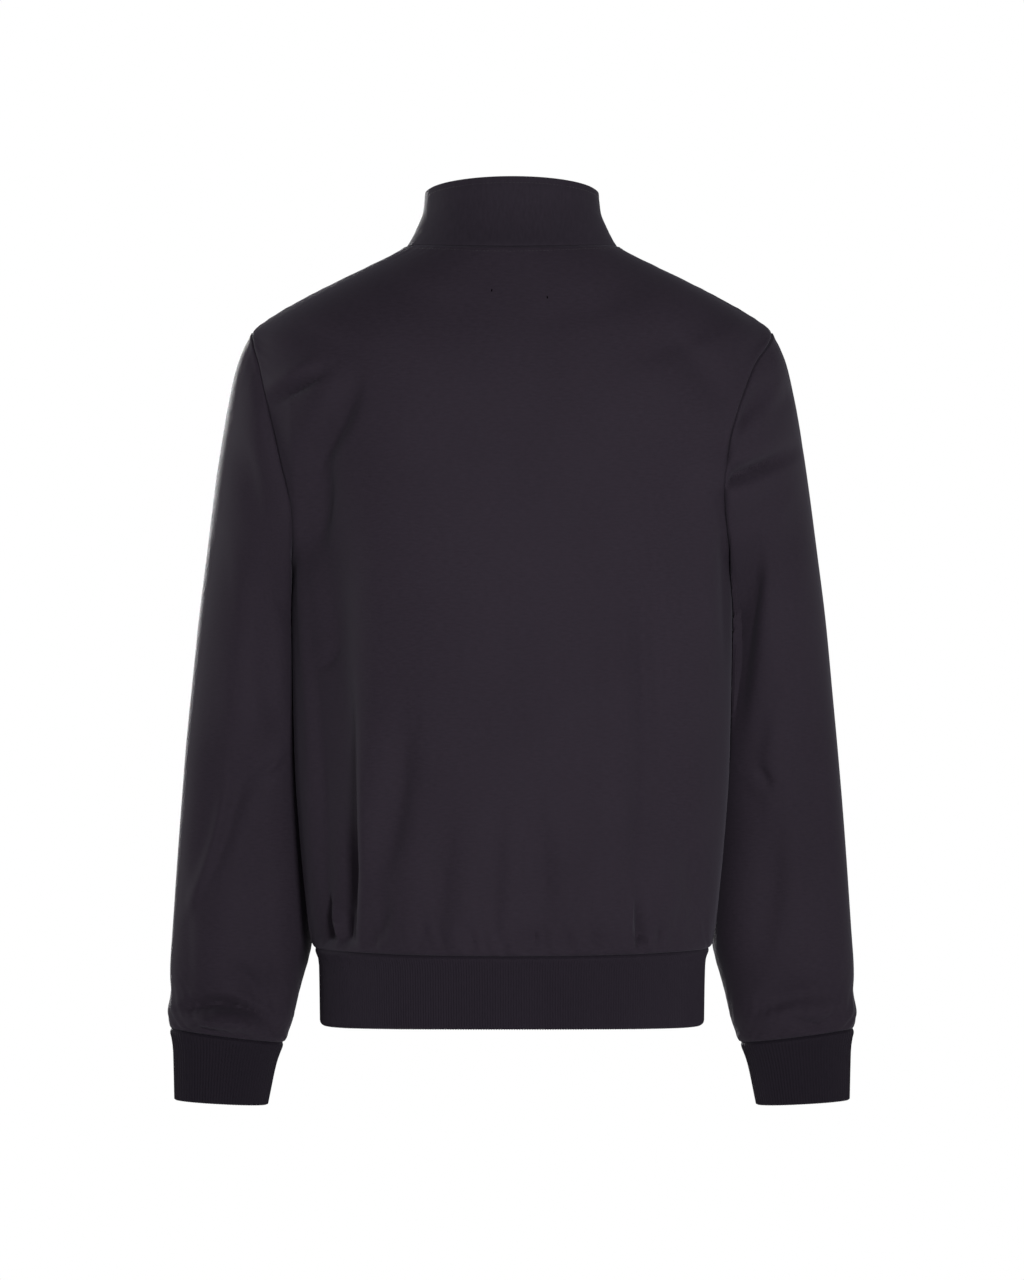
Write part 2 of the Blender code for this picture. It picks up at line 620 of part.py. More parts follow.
def pull_tab(hinge, material):
    """Pull tab hanging from the bridge: a plate with an eye, its origin on the hinge axis."""
    outline = bpy.data.curves.new("zip_pull", "CURVE")
    outline.dimensions = "2D"
    outline.fill_mode = "BOTH"
    outline.extrude = TAB_THICKNESS / 2
    half, top = TAB_WIDTH / 2, TAB_BAR / 2
    bottom = top - TAB_LENGTH
    eye_half, eye_top = BRIDGE_WIDTH / 2 + 0.35 * MM, -TAB_BAR / 2
    corner = 1.0 * MM
    outer = [(half - corner, top), (half, top - corner), (half, bottom + 2 * corner), (half - 2 * corner, bottom),
             (-half + 2 * corner, bottom), (-half, bottom + 2 * corner), (-half, top - corner), (-half + corner, top)]
    eye = [(-eye_half, eye_top), (-eye_half, eye_top - TAB_EYE), (eye_half, eye_top - TAB_EYE), (eye_half, eye_top)]
    for ring in (outer, eye):
        spline = outline.splines.new("POLY")
        spline.points.add(len(ring) - 1)
        for point, (x, y) in zip(spline.points, ring):
            point.co = (x, y, 0.0, 1.0)
        spline.use_cyclic_u = True
    drawn = bpy.data.objects.new("tab outline", outline)
    bpy.context.scene.collection.objects.link(drawn)
    bpy.context.view_layer.update()
    evaluated = drawn.evaluated_get(bpy.context.evaluated_depsgraph_get())
    mesh = bpy.data.meshes.new_from_object(evaluated)
    shaping = bmesh.new()
    shaping.from_mesh(mesh)
    bmesh.ops.remove_doubles(shaping, verts=shaping.verts, dist=0.01 * MM)
    shaping.to_mesh(mesh)
    shaping.free()
    bpy.data.objects.remove(drawn)
    tab = bpy.data.objects.new("zip_pull", mesh)
    tab.location = hinge
    tab.rotation_euler = (math.pi / 2, 0.0, 0.0)
    bpy.context.scene.collection.objects.link(tab)
    move_to_jacket(tab, material)


def make_material(name, colour):
    material = bpy.data.materials.new(name)
    material.use_nodes = True
    shader = material.node_tree.nodes["Principled BSDF"]
    shader.inputs["Base Color"].default_value = colour
    is_metal = name == "zip_metal"
    shader.inputs["Metallic"].default_value = 1.0 if is_metal else 0.0
    shader.inputs["Roughness"].default_value = 0.4 if is_metal else 0.8
    return material


def build_jacket():
    materials = {name: make_material(name, colour) for name, colour in COLOURS.items()}
    jersey, rib = materials["jersey"], materials["rib_knit"]
    body_rows = SHOULDER_ROWS + ARMHOLE_ROWS[1:] + SIDE_ROWS[1:]
    patches = {
        "collar": patch([round_row(z) for z in COLLAR_ROWS]),
        "back": patch([back_row(z) for z in body_rows]),
        "front_left": patch([front_left_row(z) for z in body_rows]),
        "front_right": patch([front_right_row(z) for z in body_rows]),
        "hem_band": patch([round_row(z) for z in BAND_ROWS]),
    }
    for label, side in (("left", 1), ("right", -1)):
        rings = [sleeve_ring(number, side) for number in SLEEVE_ROWS]
        cuff = [sleeve_ring(number, side) for number in CUFF_ROWS]
        patches["sleeve_" + label] = patch(rings, closed=True, outward=side)
        patches["cuff_" + label] = patch(cuff, closed=True, outward=side)
    normals = dict(zip(patches, shared_normals(patches.values())))
    thickness = {"collar": COLLAR_THICKNESS, "hem_band": RIB_THICKNESS,
                 "cuff_left": RIB_THICKNESS, "cuff_right": RIB_THICKNESS}
    ribs = {"hem_band": BODY_RIBS_PER_COLUMN, "cuff_left": CUFF_RIBS_PER_COLUMN,
            "cuff_right": CUFF_RIBS_PER_COLUMN}
    for name, grid in patches.items():
        cloth_wall(name, grid, normals[name], thickness.get(name, CLOTH_THICKNESS),
                   rib if name in ribs else jersey, ribs.get(name, 0))

    lines = {}
    for label, side in (("left", 1), ("right", -1)):
        stack = [(patches[name], normals[name], thickness.get(name, CLOTH_THICKNESS))
                 for name in ("collar", "front_" + label, "hem_band")]
        lines[label] = zip_line(stack, side)
    rows = middle_line(lines["left"], lines["right"])
    for label, side in (("left", 1), ("right", -1)):
        zip_tape("zip_tape_" + label, lines[label], rows, side, materials["zip_tape"])
    chain_top, hinge = zip_slider(rows, materials["zip_metal"])
    hem_z = rows[-1][0][2]
    chain_bottom = hem_z + STOP_HEIGHT + 2 * PART_GAP
    zip_chain("zip_chain", rows, chain_top, chain_bottom, materials["zip_tape"])
    zip_chain("zip_box", rows, hem_z + STOP_HEIGHT + PART_GAP, hem_z + PART_GAP, materials["zip_metal"])
    pull_tab(hinge, materials["zip_metal"])
    print("pull tab hinge:", [round(value, 5) for value in hinge])


for leftover in list(bpy.data.objects):
    bpy.data.objects.remove(leftover)
JACKET = bpy.data.collections.new("track_jacket")
bpy.context.scene.collection.children.link(JACKET)
build_jacket()
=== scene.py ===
"""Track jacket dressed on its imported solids: cloth shells with seams, creases and stitches, ribbed hem and
cuffs, and a moulded front zip with its slider and pull tab.

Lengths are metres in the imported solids' own frame: +Z up, the front faces -Y and the wearer's left is +X.
The tables repeat the solids' sizes in millimetres, and are read here at a finer spacing.
"""

import json
import logging
import math
from dataclasses import dataclass
from enum import Enum
from typing import NamedTuple, Sequence

import bmesh
import bpy
import numpy as np
from mathutils import Matrix, Vector


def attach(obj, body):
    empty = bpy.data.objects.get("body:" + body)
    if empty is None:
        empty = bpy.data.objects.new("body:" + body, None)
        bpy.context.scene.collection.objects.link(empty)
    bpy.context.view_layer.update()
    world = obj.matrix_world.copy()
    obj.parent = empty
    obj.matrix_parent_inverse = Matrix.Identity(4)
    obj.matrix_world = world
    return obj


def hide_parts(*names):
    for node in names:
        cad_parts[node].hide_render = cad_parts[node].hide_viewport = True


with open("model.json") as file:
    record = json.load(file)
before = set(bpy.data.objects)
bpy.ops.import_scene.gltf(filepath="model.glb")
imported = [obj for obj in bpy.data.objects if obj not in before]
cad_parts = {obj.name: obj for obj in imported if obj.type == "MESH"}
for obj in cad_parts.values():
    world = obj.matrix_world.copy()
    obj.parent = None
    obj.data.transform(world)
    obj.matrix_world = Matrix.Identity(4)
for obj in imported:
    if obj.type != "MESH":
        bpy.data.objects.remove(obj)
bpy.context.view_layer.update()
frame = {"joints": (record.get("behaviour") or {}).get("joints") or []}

Array = np.ndarray
Triple = tuple[float, float, float]
Material = bpy.types.Material
Piece = bpy.types.Object
Shape = bmesh.types.BMesh
Socket = bpy.types.NodeSocket

LOG = logging.getLogger("track_jacket")
MM = 0.001

# Spacing of the cloth's points, in millimetres; beside a seam they lie at SEAM_STEPS from it.
CLOTH_STEP = 2.9
SEAM_STEPS = (0.7, 1.6, 2.8, 4.2, 5.4, 6.6, 8.4)
RIB_SAMPLES = 6


class Side(Enum):
    """The wearer's side that a piece is cut for, as the sign of X there."""

    LEFT = 1
    RIGHT = -1

    @property
    def label(self) -> str:
        """The word used in the names of pieces and nodes."""
        return self.name.lower()


class Border(Enum):
    """A border of a cut piece: its first or last row, or the start or end of every row."""

    TOP = "top"
    BOTTOM = "bottom"
    START = "start"
    END = "end"


class Face(Enum):
    """The face of the garment that a crease lies on, as the sign of Y there."""

    BACK = 1
    FRONT = -1


class BodySection(NamedTuple):
    """A level section of the trunk or collar. `z` is the height at the sides, `back` and `front` are depths
    from `centre`, the drops and `tilt` say how far the middles lie below or above the sides, and `full` is
    the superellipse power."""

    z: float
    width: float
    back: float
    front: float
    centre: float
    back_drop: float
    front_drop: float
    tilt: float
    full: float


class ArmholePoint(NamedTuple):
    """Depth of the armhole seam behind or before the shoulder ridge at one height."""

    z: float
    back_left: float
    back_right: float
    front: float


class SleeveRing(NamedTuple):
    """A ring of the left sleeve between its outer and inner points, with its middle and half-depth in Y."""

    number: float
    outer_x: float
    outer_z: float
    inner_x: float
    inner_z: float
    middle: float
    depth: float
    full: float


class BodyFold(NamedTuple):
    """A broad fold of the trunk, `lean` degrees from upright; height is below zero for a trough."""

    x: float
    z: float
    length: float
    spread: float
    lean: float
    height: float


class SleeveFold(NamedTuple):
    """A broad fold of a sleeve, about a ring and a turn in degrees from the outer side to the back."""

    ring: float
    turn: float
    rings: float
    turns: float
    height: float


class Crease(NamedTuple):
    """A narrower crease seen from the back or front. It runs `length` either way from (x, z), `lean` degrees
    from upright, bowed sideways by `bow`. Its right side is `width` wide, its left side `skew` times that.
    `lip` is the height of the ridge on its left, or on its right if below zero, as a share of `depth`, which
    is itself below zero for a ridge."""

    face: Face
    x: float
    z: float
    length: float
    width: float
    lean: float
    depth: float
    bow: float = 0.0
    skew: float = 1.6
    lip: float = 0.35


def creases_on(face: Face, *rows: tuple[float, ...]) -> tuple[Crease, ...]:
    """The creases of one face, each written as its numbers from `x` on."""
    return tuple(Crease(face, *row) for row in rows)


BODY_SECTIONS = (
    (45.7, 76, 62, 67, -10, 0, 45, 10, 2),  # collar's top edge
    (30, 77.5, 64, 69, -8, 1.5, 50, 6.5, 2),
    (15, 83.2, 69, 74, -5, 3.5, 56, 3, 2),
    (0, 91.5, 78, 82, -2, 5.3, 62, 0, 2),  # neck seam
    (-5.2, 99, 81, 84, -2, 6, 62, 0, 2),
    (-19.2, 127.3, 87, 90, -2, 8, 61, 0, 2.05),
    (-40, 169.9, 95, 99, -3, 10, 57, 0, 2.1),
    (-61, 207.5, 102, 107, -4, 10, 50, 0, 2.15),
    (-75, 225.8, 105, 111, -4, 9, 45, 0, 2.2),  # shoulder tips
    (-96, 231, 109.1, 115, -4, 7, 40, 0, 2.25),
    (-130, 230.5, 114.4, 121, -4, 4, 32, 0, 2.3),
    (-187, 219, 119, 126.5, -4, 1, 17, 0, 2.3),
    (-240, 203, 120.5, 128, -4, 0, 6, 0, 2.3),
    (-285, 193, 119, 126.5, -5, 0, 0, 0, 2.3),  # underarm
    (-350, 191.8, 116.5, 123.5, -5, 0, 0, 0, 2.3),
    (-450, 189.6, 115, 121, -5, 0, 0, 0, 2.3),
    (-520, 184.8, 116, 121, -5, 0, 0, 0, 2.3),
    (-575, 179.4, 117, 121, -5, 0, 0, 0, 2.28),
    (-600, 176.2, 115, 118.5, -5, 0, 0, 0, 2.26),
    (-612, 172, 110.5, 114, -5, 2, 0, 0, 2.25),  # hem seam
    (-624, 168, 108, 111.5, -5, 0.5, 0, 0, 2.25),
    (-678.5, 167, 107, 110.5, -5, -3, 0, 0, 2.25),  # hem
)

ARMHOLE_SEAM = (
    (-75, 0, 0, 0),
    (-84, 24, 27, 24),
    (-100, 39, 50, 40),
    (-120, 48, 62, 50),
    (-145, 55, 70, 57),
    (-170, 57, 73, 61),
    (-200, 57, 72, 62),
    (-225, 55, 66, 58),
    (-250, 47, 54, 48),
    (-268, 34, 38, 34),
    (-279, 18, 20, 18),
    (-285, 0, 0, 0),
)

SLEEVE_RINGS = (
    (0, 225.8, -75, 193, -285, -4, 57, 2),  # armhole
    (1, 233.6, -89, 193, -289.5, -5, 60, 2),
    (2, 240.2, -106, 191.5, -296, -8, 62, 2),
    (3, 245.3, -126, 190, -304, -12, 63, 2),
    (4, 250.2, -150, 188, -313, -17, 64, 2),
    (5, 255.8, -182, 186, -325, -22, 64, 2),
    (6, 262, -222, 184, -341, -28, 63, 2),
    (7, 268.4, -270, 182, -362, -33, 62, 2),
    (8, 274.9, -322, 181, -392, -38, 60, 2.05),
    (9, 280.9, -378, 180, -428, -43, 58, 2.1),
    (10, 286.8, -435, 178.5, -468, -48, 56, 2.1),
    (11, 291.9, -495, 177, -512, -52, 54, 2.15),
    (12, 296.3, -552, 175.5, -556, -55, 51, 2.2),
    (13, 300, -605, 176, -602, -57, 48, 2.2),
    (14, 303, -645, 184, -642, -58, 44, 2.2),
    (15, 302, -668, 193.3, -672, -58.5, 39, 2.2),
    (16, 301.6, -686.5, 202, -699, -59, 33, 2.2),  # cuff seam
    (17, 299, -704, 208, -715.5, -59, 29, 2.2),
    (18, 297.8, -748.5, 216, -753, -59, 25, 2.2),  # wrist
)

BODY_FOLDS = {
    Face.BACK: (
        BodyFold(158, -505, 95, 17, 3, -8),
        BodyFold(132, -530, 75, 15, -3, 4.5),
        BodyFold(-118, -545, 55, 16, 4, -4),
        BodyFold(-88, -470, 90, 26, -3, 2.5),
        BodyFold(150, -180, 45, 17, -38, -3.5),
    ),
    Face.FRONT: (
        BodyFold(-140, -520, 85, 18, -4, -6),
        BodyFold(128, -535, 70, 18, 5, -5),
        BodyFold(96, -170, 55, 20, 30, -3.5),
        BodyFold(-96, -170, 55, 20, -30, -3.5),
    ),
}

SLEEVE_FOLDS = (
    SleeveFold(14.2, 80, 0.55, 75, -5),
    SleeveFold(15.2, 80, 0.5, 95, 3.5),
    SleeveFold(10.5, 60, 1.6, 22, -4),
    SleeveFold(9.5, 255, 1, 50, -5),
    SleeveFold(5.6, 120, 0.9, 24, -4),
)

BODY_CREASES = creases_on(
    Face.BACK,
    # left half of the back
    (172, -505, 150, 33, 1, 17, 3, 0.35, 0),
    (141, -512, 98, 4.4, 0, 8.4, 2, 3.6, -0.15),
    (147, -548, 42, 7, 1, 10, -2, 1.3, 0),
    (183, -400, 190, 3, 1.5, -3.4, 0, 1, 0),
    (159, -589, 19, 2.8, 17, -6.2, 0, 1.6, 0),
    (169, -588, 22, 3.8, 14, 6.2, 1, 1.3, 0.2),
    (151, -592, 14, 3.6, 10, 4.2, 0, 1.3, 0.2),
    (166, -360, 12, 3.6, -45, 4.2, 1, 1.6, 0.2),
    (156, -360, 74, 18, 3, 7.6, -3, 1.2, 0),
    (182, -127, 22, 3.4, -64, 8.5, 1.5, 1.7, 0.45),
    (150, -163, 36, 7, -30, 10.5, 3, 1.8, 0.2),
    (168, -228, 44, 9, -12, 8.6, 3, 1.6, 0.1),
    (166, -270, 90, 32, 3, 9, -4, 0.5, 0),
    (98, -486, 66, 10, -9, 6.4, 3, 1.6, 0.3),
    (113, -588, 26, 7, -22, 4.8, 3),
    (60, -560, 52, 10, -4, 3.6),
    # right half of the back
    (-103, -576, 30, 2.6, 2, -3.3, 0, 1.2, 0),
    (-109, -590, 22, 3.8, 3, 6.4, -1, 1.4, 0.4),
    (-127, -598, 13, 3.4, -3, 4.2, 0, 1.3, 0.35),
    (-143, -592, 20, 5, -10, 2.7),
    (-114, -375, 90, 8, 3, 5.7, -2, 1.5, 0.45),
    (-112, -500, 62, 9, -3, 5.3, 3, 1.5, 0.35),
    (-158, -558, 48, 11, 8, 6.4, 4, 1.3, 0.2),
    (-150, -250, 80, 13, 4, 4.6, -5),
    (-186, -300, 70, 5, 2, 3.3, -2, 1.5, 0.5),
    (-166, -112, 36, 9, 38, 5, 3),
    (-26, -545, 62, 10, 3, 3.8, 3),
    (14, -550, 58, 8, -2, 3.6),
    # gathers above the middle of the hem band
    (-8, -601, 15, 3, 10, 3.8),
    (-18, -599, 12, 2.8, -6, 3.3),
    (4, -602, 10, 3, -12, 2.5),
    (34, -600, 14, 3.6, 6, 2.2),
    (-46, -601, 12, 3.4, -8, 2.2),
    (-74, -599, 15, 3.6, 5, 2.5),
    (78, -600, 13, 3.4, -7, 2.2),
    # across the shoulders
    (70, -52, 46, 12, 72, 2.1, -5),
    (-76, -56, 50, 13, -70, 2.1, 5),
    (160, -86, 40, 10, 66, 2.5, 4),
    (-150, -84, 44, 11, -64, 3, 4),
) + creases_on(
    Face.FRONT,
    (52, -420, 120, 13, 4, 2.5, 6),
    (-46, -460, 110, 12, -3, 2.7, -5),
    (134, -520, 96, 6.5, 5, 6.2, 4, 3.2, -0.3),
    (-146, -505, 104, 6.5, -4, 5.9, -4, 3, -0.3),
    (168, -330, 40, 6, 26, 3, 3),
    (-166, -318, 44, 6.5, -30, 3.2, -3),
    (120, -196, 48, 7.5, 36, 3.9, 6),
    (-124, -188, 50, 7.5, -34, 4.1, -6),
    (96, -244, 46, 9, 48, 2.5, 5),
    (-92, -252, 44, 9, -46, 2.5, -5),
    (60, -118, 40, 9, 56, 2, 4),
    (-62, -122, 38, 9, -54, 2, -4),
    (88, -582, 28, 4.6, 4, 3.4, 1),
    (118, -596, 15, 3.6, -8, 2.5),
    (-98, -586, 26, 4.4, -3, 3.6, 1),
    (-128, -597, 14, 3.4, 7, 2.4),
    (28, -596, 20, 3.8, 5, 2.4),
    (54, -600, 13, 3.4, -6, 2),
    (-34, -594, 22, 4, -6, 2.5),
    (-62, -600, 13, 3.4, 8, 1.8),
)

SLEEVE_CREASES = {
    Side.LEFT: creases_on(
        Face.BACK,
        (259, -519, 54, 4.4, -16, -5.4, 5, 1.5, 0),
        (246, -500, 50, 9, -18, 4.5, 4, 1.3, 0.1),
        (210, -455, 12, 3, -52, -3.5, 1, 1.5, 0),
        (220, -452, 38, 12, -30, 5.6, 3),
        (222, -575, 56, 9, 6, 3.6, -4),
        (249, -661, 36, 4.2, 82, 11.5, 9, 1.8, 0.2),
        (252, -676, 28, 5, 86, -6.8, 6, 1.3, 0),
        (211, -655, 26, 10, 16, 6.2, 2, 1.2, 0),
        (228, -647, 22, 7.5, 30, 7, 2, 1.5, 0.3),
        (264, -684, 12, 3, 70, 2, 1),
        (286, -610, 60, 8, 2, 2.3, 3),
        (214, -330, 50, 9, 8, 3.8, 5),
        (226, -205, 34, 8, 12, 2.7, 3),
        (250, -300, 60, 12, 5, 2.3, 4),
        (208, -398, 44, 8, 14, 3.2, -3),
    ) + creases_on(
        Face.FRONT,
        (236, -412, 44, 6.5, 66, 4.8, 6, 1.6, 0.5),
        (244, -446, 36, 6, 76, 3.9, -4, 1.6, 0.5),
        (228, -478, 30, 6, 60, 3, 4),
        (212, -300, 48, 7, 34, 3.6, 5),
        (226, -214, 40, 8, 40, 2.7, 4),
        (262, -560, 60, 7, -14, 2.7, 4),
        (250, -660, 38, 4.2, 78, 4.5, -4, 1.5, 0.6),
        (232, -638, 24, 5, 62, 2.8, 3),
    ),
    Side.RIGHT: creases_on(
        Face.BACK,
        (-207, -199, 36, 4.6, -68, 12.5, 2, 1.6, 0.2),
        (-205, -146, 29, 6, -41, 7.6, 2, 1.7, 0.4),
        (-212, -236, 30, 7, -52, 3.6, 2),
        (-203, -330, 84, 10, -7, 10, -3, 2.2, 0.15),
        (-236, -280, 50, 11, -14, 3, 4),
        (-221, -463, 10, 3.2, 35, 3.6, 1),
        (-214, -440, 46, 9, -6, 3.6, -4),
        (-262, -470, 60, 9, 10, 3.2, 4),
        (-228, -560, 60, 10, -6, 3.8, 4),
        (-276, -560, 70, 8, 3, 2.4, 3),
        (-262, -681, 20, 3.4, 66, 4.5, 3, 1.6, 0.5),
        (-236, -660, 30, 6, -70, 3.8, -3),
        (-282, -676, 15, 3.4, -68, 3.4, 2),
        (-244, -128, 26, 7, -34, 2.7, 3),
    ) + creases_on(
        Face.FRONT,
        (-238, -406, 42, 6.5, -68, 4.7, -6, 1.6, 0.5),
        (-242, -440, 38, 6, -74, 3.8, 4, 1.6, 0.5),
        (-224, -474, 32, 6, -58, 3.2, -4),
        (-214, -296, 46, 7, -36, 3.8, -5),
        (-228, -208, 38, 8, -42, 2.5, -4),
        (-264, -566, 56, 7, 16, 2.7, -4),
        (-252, -662, 36, 4.2, -76, 4.3, 4, 1.5, 0.6),
        (-234, -640, 24, 5, -60, 2.8, -3),
    ),
}

COLLAR_CREASES = creases_on(
    Face.BACK,
    (34, 24, 26, 7, 20, 0.5, 2),
    (-42, 20, 24, 7, -16, 0.5, -2),
) + creases_on(
    Face.FRONT,
    (40, -20, 22, 6, 24, 0.8, 2),
    (-38, -24, 24, 6, -22, 0.8, -2),
)


class SmoothTable:
    """A table of rows read between them along smooth curves that never overshoot."""

    def __init__(self, kind: type[NamedTuple], rows: Sequence[tuple[float, ...]]) -> None:
        """Sorts the rows by their first column and works out the slope at each.

        Args:
            kind: The kind of row.
            rows: The numbers of each row.
        """
        self.kind = kind
        self.values = np.array(sorted(rows), float)
        self.at = self.values[:, 0]
        step = np.diff(self.at)[:, None]
        rise = np.diff(self.values, axis=0) / step
        before, after = rise[:-1], rise[1:]
        same_way = before * after > 0
        harmonic = 2 * before * after / np.where(same_way, before + after, 1.0)
        self.slopes = np.vstack([rise[:1], np.where(same_way, harmonic, 0.0), rise[-1:]])

    def read(self, at: float) -> NamedTuple:
        """The row at one place.

        Args:
            at: Value of the first column.

        Returns:
            A named row of the table's own kind.
        """
        i = int(np.clip(np.searchsorted(self.at, at) - 1, 0, len(self.at) - 2))
        width = self.at[i + 1] - self.at[i]
        t = (at - self.at[i]) / width
        start, end = self.values[i], self.values[i + 1]
        leave, arrive = self.slopes[i] * width, self.slopes[i + 1] * width
        row = ((2 * t**3 - 3 * t**2 + 1) * start + (t**3 - 2 * t**2 + t) * leave
               + (3 * t**2 - 2 * t**3) * end + (t**3 - t**2) * arrive)
        return self.kind(*row)


def signed_power(value: Array, power: float) -> Array:
    """Raises the size of each value to a power and keeps its sign."""
    return np.sign(value) * np.abs(value) ** power


def unit(vectors: Array) -> Array:
    """The vectors along the last axis, each scaled to length one."""
    return vectors / np.maximum(np.linalg.norm(vectors, axis=-1, keepdims=True), 1e-12)


def stations(start: float, end: float, step: float, eased: Sequence[Border] = ()) -> Array:
    """Places from start to end about one step apart, and closer beside a seam.

    Args:
        start: First place, in millimetres.
        end: Last place.
        step: Usual distance between places.
        eased: TOP for a seam at the start, BOTTOM for one at the end.

    Returns:
        The places in order.
    """
    length = abs(end - start)
    lead = [0.0, *(SEAM_STEPS if Border.TOP in eased else ())]
    tail = [length, *(length - s for s in (SEAM_STEPS if Border.BOTTOM in eased else ()))][::-1]
    count = max(1, round((tail[0] - lead[-1]) / step))
    even = np.linspace(lead[-1], tail[0], count + 1)
    places = np.concatenate([lead[:-1], even, tail[1:]])
    return start + places * (1.0 if end > start else -1.0)


def lengths_along(points: Array, axis: int) -> Array:
    """Distance from the grid's first point to each, along its rows (axis 1) or columns (axis 0).

    Args:
        points: Grid of points.
        axis: The direction.

    Returns:
        A distance for each point.
    """
    steps = np.linalg.norm(np.diff(points, axis=axis), axis=2)
    start = np.zeros_like(np.take(steps, [0], axis))
    return np.concatenate([start, np.cumsum(steps, axis=axis)], axis=axis)


def places_along(line: Array) -> Array:
    """Distance from the first point of a line to each."""
    return np.concatenate([[0.0], np.cumsum(np.linalg.norm(np.diff(line, axis=0), axis=1))])


def read_along(at: float | Array, along: Array, line: Array) -> Array:
    """A line's points, or other triples kept along it, at given distances along it."""
    return np.stack([np.interp(at, along, line[:, i]) for i in range(3)], axis=-1)


def respaced(line: Array, shares: Array) -> Array:
    """A line's points at shares of its length, from 0 to 1."""
    along = places_along(line)
    return read_along(shares * along[-1], along, line)


def border_of(grid: Array, which: Border, inward: int = 0) -> Array:
    """What a grid holds along one border, or as many rows or columns inside it as `inward` says."""
    return {Border.TOP: grid[inward], Border.BOTTOM: grid[-1 - inward],
            Border.START: grid[:, inward], Border.END: grid[:, -1 - inward]}[which]


@dataclass(frozen=True)
class TrunkForm:
    """The smooth form of trunk and collar, without seams or fine creases."""

    body: SmoothTable = SmoothTable(BodySection, BODY_SECTIONS)
    seam: SmoothTable = SmoothTable(ArmholePoint, ARMHOLE_SEAM)
    neck_z: float = 0.0
    tip_z: float = -75.0
    underarm_z: float = -285.0
    hem_seam_z: float = -612.0
    front_opening: float = 12.0
    fold_fade_hem: float = 25.0
    fold_fade_neck: float = 60.0

    def folds(self, face: Face, x: Array, z: Array) -> Array:
        """How far the broad folds of one face move the cloth out, in millimetres.

        Args:
            face: The face.
            x: Places across, in millimetres.
            z: Their heights.

        Returns:
            A height for each place.
        """
        height = np.zeros_like(x)
        for fold in BODY_FOLDS[face]:
            lean = math.radians(fold.lean)
            across = (x - fold.x) * math.cos(lean) - (z - fold.z) * math.sin(lean)
            along = (x - fold.x) * math.sin(lean) + (z - fold.z) * math.cos(lean)
            height += fold.height * np.exp(-((across / fold.spread) ** 2) - (along / fold.length) ** 2)
        return height

    def points(self, z: float, angles: Array) -> Array:
        """Points of one section.

        Args:
            z: Side height of the section, in millimetres.
            angles: Angles from the left side (0) over the back to the right side and the front.

        Returns:
            One point in metres for each angle.
        """
        row = self.body.read(z)
        cosine, sine = np.cos(angles), np.sin(angles)
        across, along = signed_power(cosine, 2 / row.full), signed_power(sine, 2 / row.full)
        behind = sine > 0
        x = row.width * across
        y = row.centre + np.where(behind, row.back, row.front) * along
        height = z + row.tilt * sine - np.where(behind, row.back_drop, row.front_drop) * sine**2
        out = np.where(behind, self.folds(Face.BACK, x, height), self.folds(Face.FRONT, x, height))
        fade = min(1.0, max(0.0, (z - self.hem_seam_z) / self.fold_fade_hem))
        fade *= min(1.0, max(0.0, -z / self.fold_fade_neck))
        return np.stack([x, y + np.sign(sine) * out * fade * np.abs(along), height], axis=1) * MM

    def seam_angle(self, z: float, depth: float, side_depth: float) -> float:
        """Angle at which the section lies this far behind or before its side ridge."""
        return math.asin(min(1.0, max(0.0, depth) / side_depth) ** (self.body.read(z).full / 2))

    def armhole_angles(self, z: float) -> tuple[float, float, float, float]:
        """Angles of the armhole seam at a height: back left, back right, front left and front right.

        Args:
            z: Side height, in millimetres.

        Returns:
            The angles, or those of the sides where there is no armhole.
        """
        if not self.underarm_z < z < self.tip_z:
            return 0.0, math.pi, 2 * math.pi, math.pi
        row, seam = self.body.read(z), self.seam.read(z)
        left = self.seam_angle(z, seam.back_left, row.back)
        right = self.seam_angle(z, seam.back_right, row.back)
        front = self.seam_angle(z, seam.front, row.front)
        return left, math.pi - right, 2 * math.pi - front, math.pi + front

    def front_edge_angle(self, z: float) -> float:
        """Angle, past straight front, of a front edge beside the zip."""
        row = self.body.read(z)
        return math.asin((self.front_opening / 2 / row.width) ** (row.full / 2))

    def arc(self, z: float, start: float, end: float, places: Array) -> Array:
        """Points along a section between two angles.

        Args:
            z: Side height of the section, in millimetres.
            start: First angle.
            end: Last angle.
            places: Shares of the arc's length, from 0 to 1.

        Returns:
            One point for each place.
        """
        return respaced(self.points(z, np.linspace(start, end, 4 * len(places) + 1)), places)

    def back_row(self, z: float, places: Array) -> Array:
        """A row of the back, from the left armhole or side seam to the right one."""
        left, right, _, _ = self.armhole_angles(z)
        return self.arc(z, left, right, places)

    def front_row(self, z: float, side: Side, places: Array) -> Array:
        """A row of one front: from the zip to the left side seam, or from the right side seam to the zip.

        Args:
            z: Side height of the row, in millimetres.
            side: The front's side.
            places: Shares of its length.

        Returns:
            The row's points.
        """
        edge = self.front_edge_angle(z)
        _, _, left, right = self.armhole_angles(z)
        if side is Side.LEFT:
            return self.arc(z, 1.5 * math.pi + edge, left, places)
        return self.arc(z, right, 1.5 * math.pi - edge, places)

    def round_row(self, z: float, front: Array, back: Array) -> Array:
        """A whole section from the left front edge round the back to the right one.

        Args:
            z: Side height of the row, in millimetres.
            front: Shares of a front's length.
            back: Shares of the back's.

        Returns:
            The section's points.
        """
        left = self.front_row(z, Side.LEFT, front)
        right = self.front_row(z, Side.RIGHT, 1.0 - front[::-1])
        return np.vstack([left, self.back_row(z, back)[1:], right[1:]])

